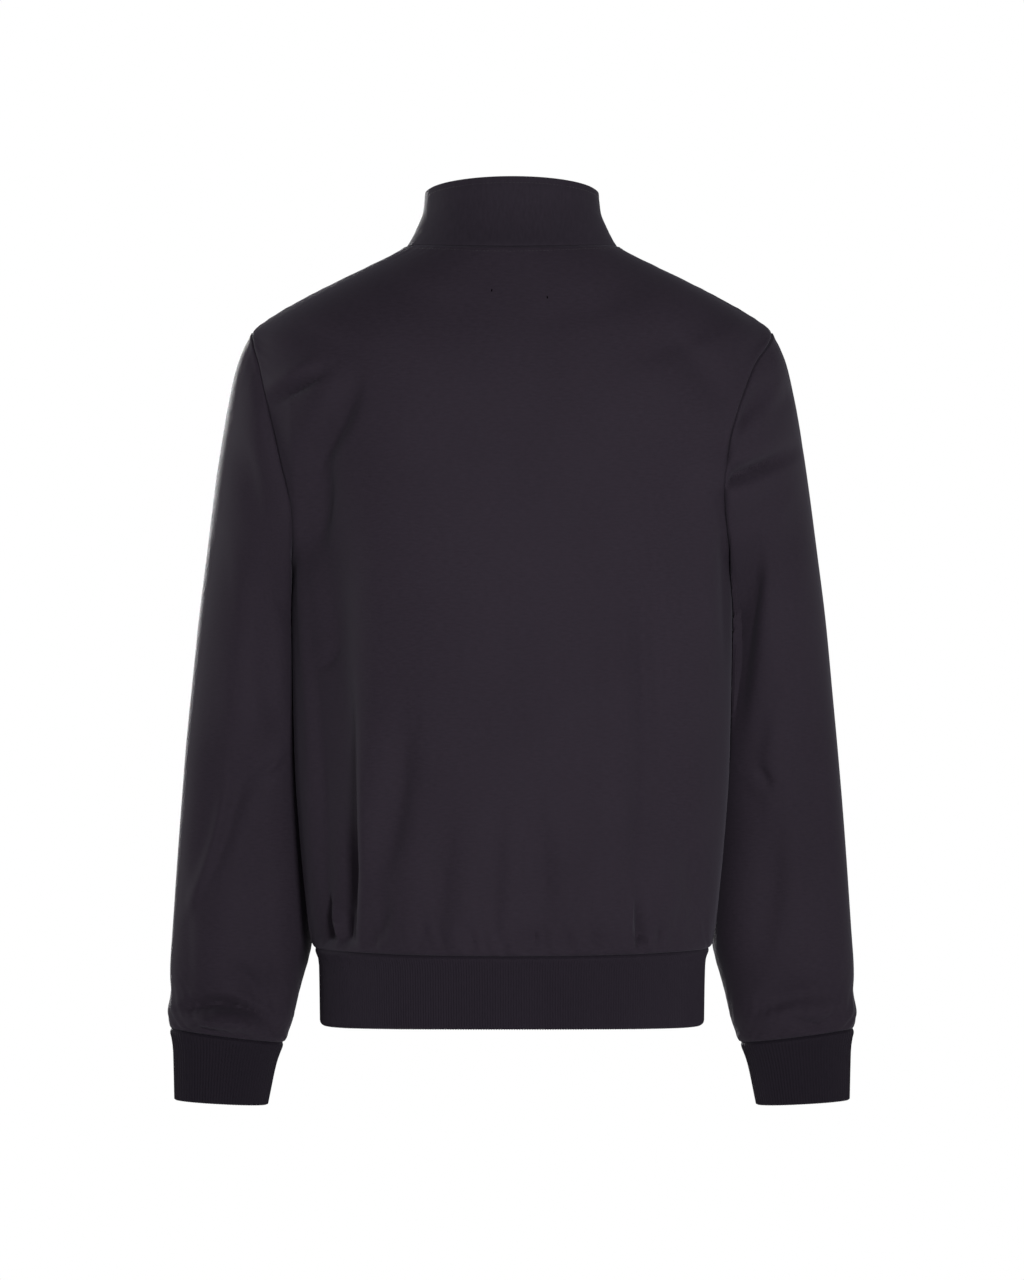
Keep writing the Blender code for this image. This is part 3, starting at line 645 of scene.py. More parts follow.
    def half_width(self, y: Array, z: Array) -> Array:
        """The trunk's half-width in metres beside each point, or zero before or behind it.

        Args:
            y: Places from front to back.
            z: Their heights.

        Returns:
            A half-width for each.
        """
        found = np.zeros_like(y)
        for i, height in enumerate(z):
            row = self.body.read(height / MM)
            depth = row.back if y[i] / MM > row.centre else row.front
            reach = min(1.0, abs(y[i] / MM - row.centre) / depth)
            found[i] = row.width * MM * (1 - reach**row.full) ** (1 / row.full)
        return found


@dataclass(frozen=True)
class SleeveForm:
    """The smooth form of sleeves and cuffs, fitted to the armholes of a trunk."""

    trunk: TrunkForm
    armhole_heights: Array
    rings: SmoothTable = SmoothTable(SleeveRing, SLEEVE_RINGS)
    cuff_ring: float = 16.0
    wrist_ring: float = 18.0
    blend_rings: float = 6.0  # over these the armhole's own outline fades into round rings
    fold_start: float = 2.0  # over these rings from the armhole the folds grow
    fold_end: float = 0.6  # and over these before the cuff they die out
    clearance: float = 0.8 * MM  # from the trunk's side

    def outline(self, side: Side) -> Array:
        """The armhole seam's points, from the shoulder tip down the back and up the front.

        Args:
            side: The wearer's side.

        Returns:
            The points in metres.
        """
        back, front = [], []
        for z in self.armhole_heights:
            back_left, back_right, front_left, front_right = self.trunk.armhole_angles(z)
            angles = (back_left, front_left) if side is Side.LEFT else (back_right, front_right)
            points = self.trunk.points(z, np.array(angles))
            back.append(points[0])
            front.append(points[1])
        return np.array(back + front[-2:0:-1])

    def folds(self, number: float, turns: Array) -> Array:
        """How far the sleeve's broad folds move the cloth out, in metres.

        Args:
            number: Number of the ring.
            turns: Angles from the outer side to the back.

        Returns:
            A height for each angle.
        """
        height = np.zeros_like(turns)
        for fold in SLEEVE_FOLDS:
            away = (turns - math.radians(fold.turn) + math.pi) % (2 * math.pi) - math.pi
            height += fold.height * np.exp(-(((number - fold.ring) / fold.rings) ** 2)
                                           - (away / math.radians(fold.turns)) ** 2)
        return height * MM

    def round_ring(self, number: float) -> Array:
        """One ring of the left sleeve, before it is fitted to the armhole.

        Args:
            number: Number of the ring.

        Returns:
            Its points, from the outer side over the back.
        """
        row = self.rings.read(number)
        turns = np.linspace(0.0, 2 * math.pi, 2 * (len(self.armhole_heights) - 1), endpoint=False)
        outer = np.array([row.outer_x, row.middle, row.outer_z]) * MM
        inner = np.array([row.inner_x, row.middle, row.inner_z]) * MM
        centre, half = (outer + inner) / 2, (outer - inner) / 2
        across = signed_power(np.cos(turns), 2 / row.full)[:, None]
        along = signed_power(np.sin(turns), 2 / row.full)[:, None]
        ring = centre + across * half + along * np.array([0.0, row.depth * MM, 0.0])
        fade = min(1.0, number / self.fold_start)
        fade *= min(1.0, max(0.0, (self.cuff_ring - number) / self.fold_end))
        return ring + unit(ring - centre) * (self.folds(number, turns) * fade)[:, None]

    def ring(self, number: float, side: Side) -> Array:
        """One ring of a sleeve or cuff, from its underarm seam round the front, the outside and the back.

        Args:
            number: Place along the sleeve, from 0 at the armhole to wrist_ring.
            side: The wearer's side.

        Returns:
            The ring's points in metres, with the first repeated at the end.
        """
        mirror = np.array([side.value, 1.0, 1.0])
        share = max(0.0, 1.0 - number / self.blend_rings)
        offset = self.outline(side) * mirror - self.round_ring(0.0)
        ring = self.round_ring(number) + offset * (share**2 * (3 - 2 * share))
        if number > 0:
            nearest = self.trunk.half_width(ring[:, 1], ring[:, 2]) + self.clearance
            ring[:, 0] = np.maximum(ring[:, 0], nearest)
        ring = np.roll(ring * mirror, -(len(self.armhole_heights) - 1), axis=0)
        return np.vstack([ring, ring[:1]])

    def numbers(self, first: float, last: float, step: float) -> Array:
        """Ring numbers between two rings, a step apart along the sleeve and closer beside both seams.

        Args:
            first: The first ring.
            last: The last ring.
            step: Usual distance, in millimetres.

        Returns:
            The numbers in order.
        """
        dense = np.linspace(first, last, 400)
        rows = [self.rings.read(number) for number in dense]
        along = places_along(np.array([[(row.outer_x + row.inner_x) / 2, row.middle,
                                        (row.outer_z + row.inner_z) / 2] for row in rows]))
        at = stations(0.0, along[-1], step, (Border.TOP, Border.BOTTOM))
        return np.interp(at, along, dense)


@dataclass
class CutPiece:
    """One cut piece of cloth as a grid of points, before it is made into a wall."""

    name: str
    points: Array
    outward: int
    thickness: float
    folded: tuple[Border, ...] = ()
    grain: Triple = (0.0, 0.0, 1.0)
    normals: Array | None = None

    def __post_init__(self) -> None:
        """Measures the piece along its rows and columns."""
        self.across = lengths_along(self.points, 1)
        self.down = lengths_along(self.points, 0)

    def from_border(self, which: Border) -> Array:
        """Distance of each point from a border, measured along the piece's rows or columns."""
        return {Border.TOP: self.down, Border.BOTTOM: self.down[-1:] - self.down,
                Border.START: self.across, Border.END: self.across[:, -1:] - self.across}[which]

    def nearest(self, which: Border, reach: float = 45.0 * MM) -> Array:
        """Straight distance of each point from a border, where it lies within reach of it.

        Args:
            which: The border.
            reach: Beyond this the distance along the piece is good enough.

        Returns:
            A distance in metres for each point of the grid.
        """
        distance = self.from_border(which)
        close = distance < reach
        points = self.points[close]
        line = border_of(self.points, which)
        best = np.full(len(points), np.inf)
        for start, end in zip(line, line[1:]):
            run = end - start
            t = np.clip((points - start) @ run / max(run @ run, 1e-12), 0.0, 1.0)
            best = np.minimum(best, np.linalg.norm(points - start - t[:, None] * run, axis=1))
        result = distance.copy()
        result[close] = np.minimum(best, distance[close])
        return result


def share_normals(pieces: Sequence[CutPiece]) -> None:
    """Gives every piece its outward normals, averaged by corner angle over all pieces that share a point.

    Args:
        pieces: All cut pieces of the garment.
    """
    keys, sums = [], []
    for piece in pieces:
        grid = piece.points
        total = np.zeros_like(grid)
        first, second = slice(None, -1), slice(1, None)
        places = [(first, first), (first, second), (second, second), (second, first)]
        corners = [grid[place] for place in places]
        for k, place in enumerate(places):
            before, beyond = corners[k - 1] - corners[k], corners[(k + 1) % 4] - corners[k]
            normal = np.cross(before, beyond)
            length = np.linalg.norm(normal, axis=2)
            angle = np.arctan2(length, (before * beyond).sum(axis=2))
            total[place] += normal * (piece.outward * angle / np.maximum(length, 1e-15))[:, :, None]
        keys.append(np.round(grid.reshape(-1, 3) / (0.01 * MM)).astype(np.int64))
        sums.append(total.reshape(-1, 3))
    _, group = np.unique(np.vstack(keys), axis=0, return_inverse=True)
    group = group.reshape(-1)
    merged = np.zeros((group.max() + 1, 3))
    np.add.at(merged, group, np.vstack(sums))
    found = unit(merged[group])
    start = 0
    for piece in pieces:
        rows, columns = piece.points.shape[:2]
        piece.normals = found[start:start + rows * columns].reshape(rows, columns, 3)
        start += rows * columns


FACING_GAIN = 2.4  # how fast a crease of one face comes up as the cloth turns towards it
FACING_START = 0.02
LIP_AT = 2.3  # where a crease's lip stands and how broad it is, in widths of the crease
LIP_WIDTH = 1.2
TAPER = 2.6  # power that a crease dies out with at its ends


def crease_relief(creases: Sequence[Crease], points: Array, normals: Array) -> Array:
    """Height of the creases over the cloth's smooth form.

    Args:
        creases: The creases that lie on these points.
        points: Grid of points in metres.
        normals: Their outward normals.

    Returns:
        A height in metres for each point, below zero in a trough.
    """
    relief = np.zeros(points.shape[:2])
    x, z = points[:, :, 0] / MM, points[:, :, 2] / MM
    for crease in creases:
        faces_it = np.clip(normals[:, :, 1] * crease.face.value * FACING_GAIN + FACING_START, 0.0, 1.0)
        lean = math.radians(crease.lean)
        along = ((x - crease.x) * math.sin(lean) + (z - crease.z) * math.cos(lean)) / crease.length
        across = (x - crease.x) * math.cos(lean) - (z - crease.z) * math.sin(lean) - crease.bow * along**2
        sized = across / np.where(across > 0, crease.width * crease.skew, crease.width)
        lip = abs(crease.lip) * np.exp(-(((sized - math.copysign(LIP_AT, crease.lip)) / LIP_WIDTH) ** 2))
        taper = np.exp(-np.abs(along) ** TAPER)
        relief += faces_it * taper * crease.depth * MM * (lip - np.exp(-(sized**2)))
    return relief


# Turns a metre along X, Y and Z, in radians, and the start of each slow wave in the cloth.
WANDER_WAVES = ((31, 9, 14, 0.3), (17, -22, 26, 1.9), (-44, 13, 21, 4.1), (58, 30, 9, 2.6),
                (-23, 51, -33, 5.2), (71, -40, 37, 0.8))


def wander_relief(points: Array, height: float) -> Array:
    """A slow unevenness of cloth that nothing pulls flat.

    Args:
        points: Grid of points in metres.
        height: Its greatest height, in metres.

    Returns:
        A height for each point.
    """
    total = sum(np.sin(points @ np.array(wave[:3]) + wave[3]) for wave in WANDER_WAVES)
    return total * height / len(WANDER_WAVES)


@dataclass(frozen=True)
class Seam:
    """How cloth sinks into a seam and rolls up beside it, and how the seam puckers it."""

    depth: float = 0.7 * MM
    width: float = 1.1 * MM
    roll: float = 0.22 * MM
    roll_at: float = 4.4 * MM
    roll_width: float = 3.2 * MM
    pucker: float = 0.14 * MM
    pucker_reach: float = 7.0 * MM
    covered_below: float = -1.0  # height under which a fold lies over the seam
    left_covered: float = 0.3  # share of the relief that still shows there
    cover_fade: float = 25.0 * MM  # over this height above it the relief comes up

    def relief(self, distance: Array, along: Array) -> Array:
        """Height beside the seam.

        Args:
            distance: Distance of each point from the seam.
            along: Place of each point along the seam.

        Returns:
            A height in metres for each point, and -depth on the seam itself.
        """
        at_seam = np.exp(-((distance / self.width) ** 2))
        roll = self.roll * np.exp(-(((distance - self.roll_at) / self.roll_width) ** 2))
        waves = (np.sin(along * 610.0 + 1.3 * np.sin(along * 97.0)) + 0.7 * np.sin(along * 371.0 + 2.0)
                 + 0.6 * np.sin(along * 213.0 + 0.7))
        reach = distance / self.pucker_reach
        beside = roll + self.pucker * waves * reach * np.exp(1.0 - reach)
        return -self.depth * at_seam + beside * (1.0 - at_seam)

    def shown(self, heights: Array) -> Array:
        """Share of the relief that shows at each height, in metres, with a fold over the lower part."""
        return np.clip((heights - self.covered_below) / self.cover_fade, self.left_covered, 1.0)


SIDE_SEAM = Seam(depth=0.5 * MM, roll=0.15 * MM, pucker=0.1 * MM)
DEEP_SEAM = Seam(depth=1.3 * MM, width=0.9 * MM, roll=0.5 * MM, roll_at=3.4 * MM, roll_width=2.8 * MM,
                 covered_below=-0.2)
RIB_SEAM = Seam(depth=2.4 * MM, width=0.9 * MM, roll=0.8 * MM, roll_at=5.4 * MM, roll_width=4.0 * MM,
                pucker=0.45 * MM, pucker_reach=12.0 * MM)
LEFT_SEAM = Seam(depth=0.9 * MM, width=0.9 * MM, roll=0.4 * MM, roll_at=3.2 * MM, roll_width=2.4 * MM,
                 covered_below=-0.235)
NECK_SEAM = Seam(depth=2.2 * MM, width=0.8 * MM, roll=0.3 * MM, roll_at=5.0 * MM, roll_width=2.4 * MM)
COLLAR_SEAM = Seam(depth=0.25 * MM, width=0.8 * MM, roll=0.0, pucker=0.08 * MM)
BAND_SEAM = Seam(depth=2.4 * MM, width=0.9 * MM, roll=0.1 * MM, pucker=0.12 * MM)
ARMHOLE_SEAMS = {Side.LEFT: LEFT_SEAM, Side.RIGHT: DEEP_SEAM}


def settled(distance: Array, fade: float) -> Array:
    """Share of a relief that is left at each distance from a seam that holds the cloth smooth."""
    return 1.0 - np.exp(-((distance / fade) ** 2))


def eased_at_sides(hard: Array, normals: Array, least: float = 0.3,
                   gain: float = 0.9) -> Array:
    """The relief of the seams across a piece, with less sink where the cloth turns to the jacket's sides."""
    return hard * np.where(hard < 0.0, np.clip(least + gain * np.abs(normals[:, :, 1]), 0.0, 1.0), 1.0)


def stitch_dent(distance: Array, at: float, depth: float, width: float) -> Array:
    """The shallow dent that a row of stitches pulls into the cloth, at one distance from a border."""
    return -depth * np.exp(-(((distance - at) / width) ** 2))


@dataclass
class Pattern:
    """All cut pieces of the jacket, with the outward normals that they share at their seams. Heights and
    widths are in millimetres, and a width is only used to space a row's points."""

    jersey: float = 1.5 * MM
    collar_cloth: float = 2.5 * MM  # both layers of the collar, and of the rib below
    rib_cloth: float = 2.6 * MM
    back_width: float = 410.0
    front_width: float = 205.0
    collar_back: float = 185.0
    collar_front: float = 130.0
    collar_top: float = 45.7
    collar_step: float = 2.2
    hem: float = -678.5
    hem_step: float = 6.5
    hem_fold: tuple[float, ...] = (4.0, 2.2, 0.9, 0.0)  # rows over the hem's folded edge
    hem_draw: tuple[float, ...] = (0.998, 0.993, 0.984)  # how far that edge draws in
    cuff_step: float = 6.0
    ribs_back: int = 200
    ribs_front: int = 100
    ribs_cuff: int = 88
    even: float = 0.4  # share of even spacing in the rows beside an armhole
    easing: int = 70  # how many times each point moves a quarter of the way to its neighbours' middle
    easing_fade: float = 14.0 * MM  # beside a border that holds the cloth

    def __post_init__(self) -> None:
        """Cuts every piece and works out the shared normals."""
        self.trunk = TrunkForm()
        self.armhole_heights = self.armhole_rows()
        self.sleeve = SleeveForm(self.trunk, self.armhole_heights)
        self.cuts: dict[str, CutPiece] = {}
        self.cut_trunk()
        self.cut_collar()
        self.cut_band()
        for side in Side:
            self.cut_sleeve(side)
        share_normals(list(self.cuts.values()))

    def armhole_rows(self) -> Array:
        """Heights of the rows between shoulder tip and underarm, closer together at both ends.

        Returns:
            The heights in order.
        """
        span = self.trunk.tip_z - self.trunk.underarm_z
        t = np.linspace(0.0, 1.0, round(span / CLOTH_STEP) + 3)
        shares = self.even * t + (1.0 - self.even) * (1.0 - np.cos(math.pi * t)) / 2
        return self.trunk.tip_z - span * shares

    def shares(self, length: float) -> Array:
        """Shares of a row's length for its points, closer together beside the seams at both ends."""
        return stations(0.0, length, CLOTH_STEP, (Border.TOP, Border.BOTTOM)) / length

    def cut(self, name: str, rows: Array, cloth: float, folded: tuple[Border, ...] = (), outward: int = 1,
            **facts: Triple) -> None:
        """Adds a cut piece."""
        self.cuts[name] = CutPiece(name, rows, outward, cloth, folded, **facts)

    def eased(self, rows: Array) -> Array:
        """A piece's points with the turns between its rows softened, and its borders left in place.

        Args:
            rows: Grid of points.

        Returns:
            The softened grid.
        """
        across, down = lengths_along(rows, 1), lengths_along(rows, 0)
        held = settled(np.minimum(across, across[:, -1:] - across), self.easing_fade)
        held *= settled(np.minimum(down, down[-1:] - down), self.easing_fade)
        points = rows.copy()
        for _ in range(self.easing):
            points[1:-1] += 0.25 * held[1:-1, :, None] * (points[2:] - 2 * points[1:-1] + points[:-2])
        return points

    def cut_trunk(self) -> None:
        """Cuts the back and the two fronts."""
        trunk = self.trunk
        shoulder = stations(trunk.neck_z, trunk.tip_z, CLOTH_STEP, (Border.TOP,))
        side_seam = stations(trunk.underarm_z, trunk.hem_seam_z, CLOTH_STEP, (Border.BOTTOM,))
        heights = np.concatenate([shoulder, self.armhole_heights[1:], side_seam[1:]])
        back, front = self.shares(self.back_width), self.shares(self.front_width)
        self.cut("back", self.eased(np.array([trunk.back_row(z, back) for z in heights])), self.jersey)
        for side, zip_edge in ((Side.LEFT, Border.START), (Side.RIGHT, Border.END)):
            rows = self.eased(np.array([trunk.front_row(z, side, front) for z in heights]))
            self.cut("front_" + side.label, rows, self.jersey, (zip_edge,))

    def cut_collar(self) -> None:
        """Cuts the stand collar, with its folded edge at the top."""
        heights = stations(self.collar_top, self.trunk.neck_z, self.collar_step, (Border.TOP, Border.BOTTOM))
        back, front = self.shares(self.collar_back), self.shares(self.collar_front)
        rows = np.array([self.trunk.round_row(z, front, back) for z in heights])
        self.cut("collar", rows, self.collar_cloth, (Border.TOP, Border.START, Border.END))

    def cut_band(self) -> None:
        """Cuts the doubled rib band of the hem, with a whole number of ribs in the back and each front."""
        heights = stations(self.trunk.hem_seam_z, self.hem, self.hem_step, (Border.TOP,))
        heights = np.concatenate([heights[:-1], self.hem + np.array(self.hem_fold)])
        back = np.linspace(0.0, 1.0, self.ribs_back * RIB_SAMPLES + 1)
        front = np.linspace(0.0, 1.0, self.ribs_front * RIB_SAMPLES + 1)
        rows = np.array([self.trunk.round_row(z, front, back) for z in heights])
        rows[-len(self.hem_draw):, :, :2] *= np.array(self.hem_draw)[:, None, None]
        self.cut("hem_band", rows, self.rib_cloth, (Border.BOTTOM, Border.START, Border.END))

    def cut_sleeve(self, side: Side) -> None:
        """Cuts a sleeve and its cuff.

        Args:
            side: The wearer's side.
        """
        form = self.sleeve
        down = (-0.05 * side.value, 0.08, 0.996)
        numbers = form.numbers(0.0, form.cuff_ring, CLOTH_STEP)
        rows = np.array([form.ring(number, side) for number in numbers])
        self.cut("sleeve_" + side.label, rows, self.jersey, (), side.value, grain=down)
        numbers = form.numbers(form.cuff_ring, form.wrist_ring, self.cuff_step)
        places = np.linspace(0.0, 1.0, self.ribs_cuff * RIB_SAMPLES + 1)
        rows = np.array([respaced(form.ring(number, side), places) for number in numbers])
        self.cut("cuff_" + side.label, rows, self.rib_cloth, (Border.BOTTOM,), side.value, grain=down)


def show(mesh: bpy.types.Mesh, shape: Shape, material: Material,
         sharp_angle: float) -> Piece:
    """Puts a finished shape in the scene, smooth and with its faces turned outward.

    Args:
        mesh: The mesh that keeps the shape, and whose name the piece gets.
        shape: The shape, which is used up.
        material: Its finish.
        sharp_angle: Edges folded by more degrees than this stay crisp.

    Returns:
        The new object.
    """
    shape.normal_update()
    bmesh.ops.recalc_face_normals(shape, faces=shape.faces)
    shape.to_mesh(mesh)
    shape.free()
    mesh.materials.clear()
    mesh.materials.append(material)
    mesh.shade_smooth()
    mesh.set_sharp_from_angle(angle=math.radians(sharp_angle))
    made = bpy.data.objects.new(mesh.name, mesh)
    bpy.context.scene.collection.objects.link(made)
    return made


def add_piece(name: str, vertices: Array, faces: Sequence[Sequence[int]], material: Material,
              sharp_angle: float = 40.0) -> Piece:
    """A smooth mesh object in the scene.

    Args:
        name: Name of the piece.
        vertices: Its points in metres.
        faces: Corner numbers of its faces.
        material: Its finish.
        sharp_angle: Edges folded by more degrees than this stay crisp.

    Returns:
        The new object.
    """
    mesh = bpy.data.meshes.new(name)
    mesh.from_pydata(np.asarray(vertices).tolist(), [], faces)
    shape = bmesh.new()
    shape.from_mesh(mesh)
    return show(mesh, shape, material, sharp_angle)


def skin_faces(first: int, rings: int, around: int) -> list[tuple[int, ...]]:
    """Faces of a closed skin through rings of points, capped at both ends.

    Args:
        first: Number of the first ring's first point.
        rings: How many rings there are.
        around: Points in each ring.

    Returns:
        The corner numbers of each face.
    """
    faces = []
    starts = [first + ring * around for ring in range(rings)]
    for one, two in zip(starts, starts[1:]):
        for here in range(around):
            beyond = (here + 1) % around
            faces.append((one + here, one + beyond, two + beyond, two + here))
    return faces + [tuple(range(start, start + around)) for start in (starts[0], starts[-1])]


@dataclass
class ClothWall:
    """A wall of cloth made from a cut piece and the relief of its outer face."""

    cut: CutPiece
    relief: Array
    shows_inside: float = 0.6  # share of the relief that shows on the inner face
    inside_gap: float = 0.2  # how near the inner face may come, as a share of the thickness
    rim_bulge: float = 0.8

    def __post_init__(self) -> None:
        """Lays out the wall's two faces, with the inner one kept from crossing the outer one."""
        thickness = self.cut.thickness
        inside = np.minimum(self.relief, self.relief * self.shows_inside + self.inside_gap * thickness)
        self.outer = self.cut.points + self.cut.normals * self.relief[:, :, None]
        self.inner = self.cut.points + self.cut.normals * (inside - thickness)[:, :, None]

    def rim(self, which: Border) -> Array:
        """The points of a folded border's round rim, halfway through the wall.

        Args:
            which: The border.

        Returns:
            A point for each of its points.
        """
        outer, inner = border_of(self.outer, which), border_of(self.inner, which)
        away = unit(border_of(self.cut.points, which) - border_of(self.cut.points, which, 1))
        half = np.linalg.norm(outer - inner, axis=1)[:, None] / 2
        return (outer + inner) / 2 + away * half * self.rim_bulge

    def build(self, material: Material) -> Piece:
        """Makes the wall's mesh, closed at every border and rounded at folded ones.

        Args:
            material: Finish of the cloth.

        Returns:
            The piece, with each point's place across and along the knit kept as the attribute "cloth".
        """
        rows, columns = self.outer.shape[:2]
        count = rows * columns
        index = np.arange(count).reshape(rows, columns)
        vertices = [self.outer.reshape(-1, 3), self.inner.reshape(-1, 3)]
        middle = self.cut.across[:, self.cut.across.shape[1] // 2]
        courses = -self.cut.points @ np.array(self.cut.grain)
        flat = np.stack([self.cut.across - middle[:, None], courses, np.zeros_like(courses)], axis=2)
        places = [flat.reshape(-1, 3)] * 2
        quads = np.stack([index[:-1, :-1], index[:-1, 1:], index[1:, 1:], index[1:, :-1]], axis=2)
        quads = quads.reshape(-1, 4)
        faces = [quads, quads[:, ::-1] + count]
        total = 2 * count
        for which in Border:
            order = slice(None, None, -1 if which in (Border.BOTTOM, Border.START) else 1)
            line = border_of(index, which)[order]
            chain = [line, line + count]
            if which in self.cut.folded:
                vertices.append(self.rim(which)[order])
                places.append(flat.reshape(-1, 3)[line])
                chain.insert(1, np.arange(total, total + len(line)))
                total += len(line)
            for one, two in zip(chain, chain[1:]):
                faces.append(np.stack([one[1:], one[:-1], two[:-1], two[1:]], axis=1))
        made = add_piece(self.cut.name + "_cloth", np.vstack(vertices), np.vstack(faces).tolist(), material)
        attribute = made.data.attributes.new("cloth", "FLOAT_VECTOR", "POINT")
        attribute.data.foreach_set("vector", np.vstack(places).astype(np.float32).reshape(-1))
        return made

    def line_beside(self, which: Border, distance: float) -> tuple[Array, Array]:
        """A line on the outer face at one distance from a border.

        Args:
            which: The border.
            distance: Distance from it along the cloth.

        Returns:
            The line's points and their outward normals.
        """
        away = self.cut.from_border(which)
        grid, normals = self.outer, self.cut.normals
        if which in (Border.TOP, Border.BOTTOM):
            away, grid, normals = away.T, grid.transpose(1, 0, 2), normals.transpose(1, 0, 2)
        if which in (Border.BOTTOM, Border.END):
            away, grid, normals = away[:, ::-1], grid[:, ::-1], normals[:, ::-1]
        points = [read_along(distance, along, line) for along, line in zip(away, grid)]
        ways = [read_along(distance, along, line) for along, line in zip(away, normals)]
        return np.array(points), unit(np.array(ways))


def add_node(tree: bpy.types.NodeTree, kind: str, inputs: dict[str | int, object] | None = None,
             **settings: object) -> bpy.types.Node:
    """Adds a node to a material or a world.

    Args:
        tree: The nodes that it joins.
        kind: Blender's name of the node.
        inputs: For each input the socket that it is linked to, or its value.
        **settings: The node's own properties.

    Returns:
        The new node.
    """
    node = tree.nodes.new(kind)
    for key, value in settings.items():
        setattr(node, key, value)
    feed(tree, node, inputs or {})
    return node


def feed(tree: bpy.types.NodeTree, node: bpy.types.Node, inputs: dict[str | int, object]) -> None:
    """Links a node's inputs to sockets, or sets them to values.

    Args:
        tree: The nodes that it belongs to.
        node: The node.
        inputs: For each input the socket that it is linked to, or its value.
    """
    for key, value in inputs.items():
        if isinstance(value, Socket):
            tree.links.new(value, node.inputs[key])
        else:
            node.inputs[key].default_value = value


class FinishGraph:
    """A node material under construction."""

    def __init__(self, name: str) -> None:
        """Starts a material with one Principled shader.

        Args:
            name: Name of the finish.
        """
        self.material = bpy.data.materials.new(name)
        self.material.use_nodes = True
        self.tree = self.material.node_tree
        self.shader = self.tree.nodes["Principled BSDF"]

    def add(self, kind: str, inputs: dict[str | int, object] | None = None,
            **settings: object) -> bpy.types.Node:
        """Adds a node to the finish."""
        return add_node(self.tree, kind, inputs, **settings)

    def shade(self, **values: object) -> None:
        """Links or sets the shader's inputs by name, with an underscore for each space."""
        feed(self.tree, self.shader, {key.replace("_", " "): value for key, value in values.items()})

    def math(self, operation: str, *values: object) -> Socket:
        """The result of a Math node on sockets or numbers."""
        return self.add("ShaderNodeMath", dict(enumerate(values)), operation=operation).outputs[0]

    def blend(self, one: Socket, share: float, other: Socket) -> Socket:
        """Two values mixed, with this share of the first."""
        return self.math("MULTIPLY_ADD", one, share, self.math("MULTIPLY", other, 1.0 - share))

    def cloth_place(self) -> Socket:
        """The place across and along the knit, in metres."""
        return self.add("ShaderNodeAttribute", attribute_name="cloth").outputs["Vector"]

    def object_place(self) -> Socket:
        """The place in the jacket's frame, in metres."""
        return self.add("ShaderNodeTexCoord").outputs["Object"]

    def scaled(self, place: Socket, scale: Triple) -> Socket:
        """A place multiplied by a scale for each axis."""
        return self.add("ShaderNodeVectorMath", {0: place, 1: scale}, operation="MULTIPLY").outputs["Vector"]

    def noise(self, place: Socket, scale: float, detail: float = 2.0,
              roughness: float = 0.5) -> Socket:
        """Noise from 0 to 1 at a place."""
        inputs = {"Vector": place, "Scale": scale, "Detail": detail, "Roughness": roughness}
        return self.add("ShaderNodeTexNoise", inputs).outputs["Fac"]

    def wave(self, place: Socket, axis: str, period: float, distortion: float) -> Socket:
        """A sine wave from 0 to 1 along one axis of a place in metres.

        Args:
            place: Socket of the place.
            axis: X, Y or Z.
            period: Distance from crest to crest, in metres.
            distortion: How far noise pushes the crests about.

        Returns:
            The wave's height.
        """
        inputs = {"Vector": place, "Scale": 2 * math.pi / (20.0 * period), "Distortion": distortion,
                  "Detail": 1.0, "Detail Scale": 2.0}
        node = self.add("ShaderNodeTexWave", inputs, wave_type="BANDS", wave_profile="SIN",
                        bands_direction=axis)
        return node.outputs["Fac"]

    def tint(self, share: Socket, dark: Triple,
             light: Triple) -> None:
        """Colours the shader between two colours by a share from 0 to 1."""
        inputs = {"Factor": share, 6: (*dark, 1.0), 7: (*light, 1.0)}
        self.shade(Base_Color=self.add("ShaderNodeMix", inputs, data_type="RGBA").outputs[2])

    def bump(self, height: Socket, distance: float) -> None:
        """Raises the surface by a height from 0 to 1 times a distance in metres."""
        inputs = {"Strength": 1.0, "Distance": distance, "Height": height}
        self.shade(Normal=self.add("ShaderNodeBump", inputs).outputs["Normal"])

    def rough(self, share: Socket, least: float, most: float) -> None:
        """Sets the roughness between two values by a share from 0 to 1."""
        self.shade(Roughness=self.math("MULTIPLY_ADD", share, most - least, least))


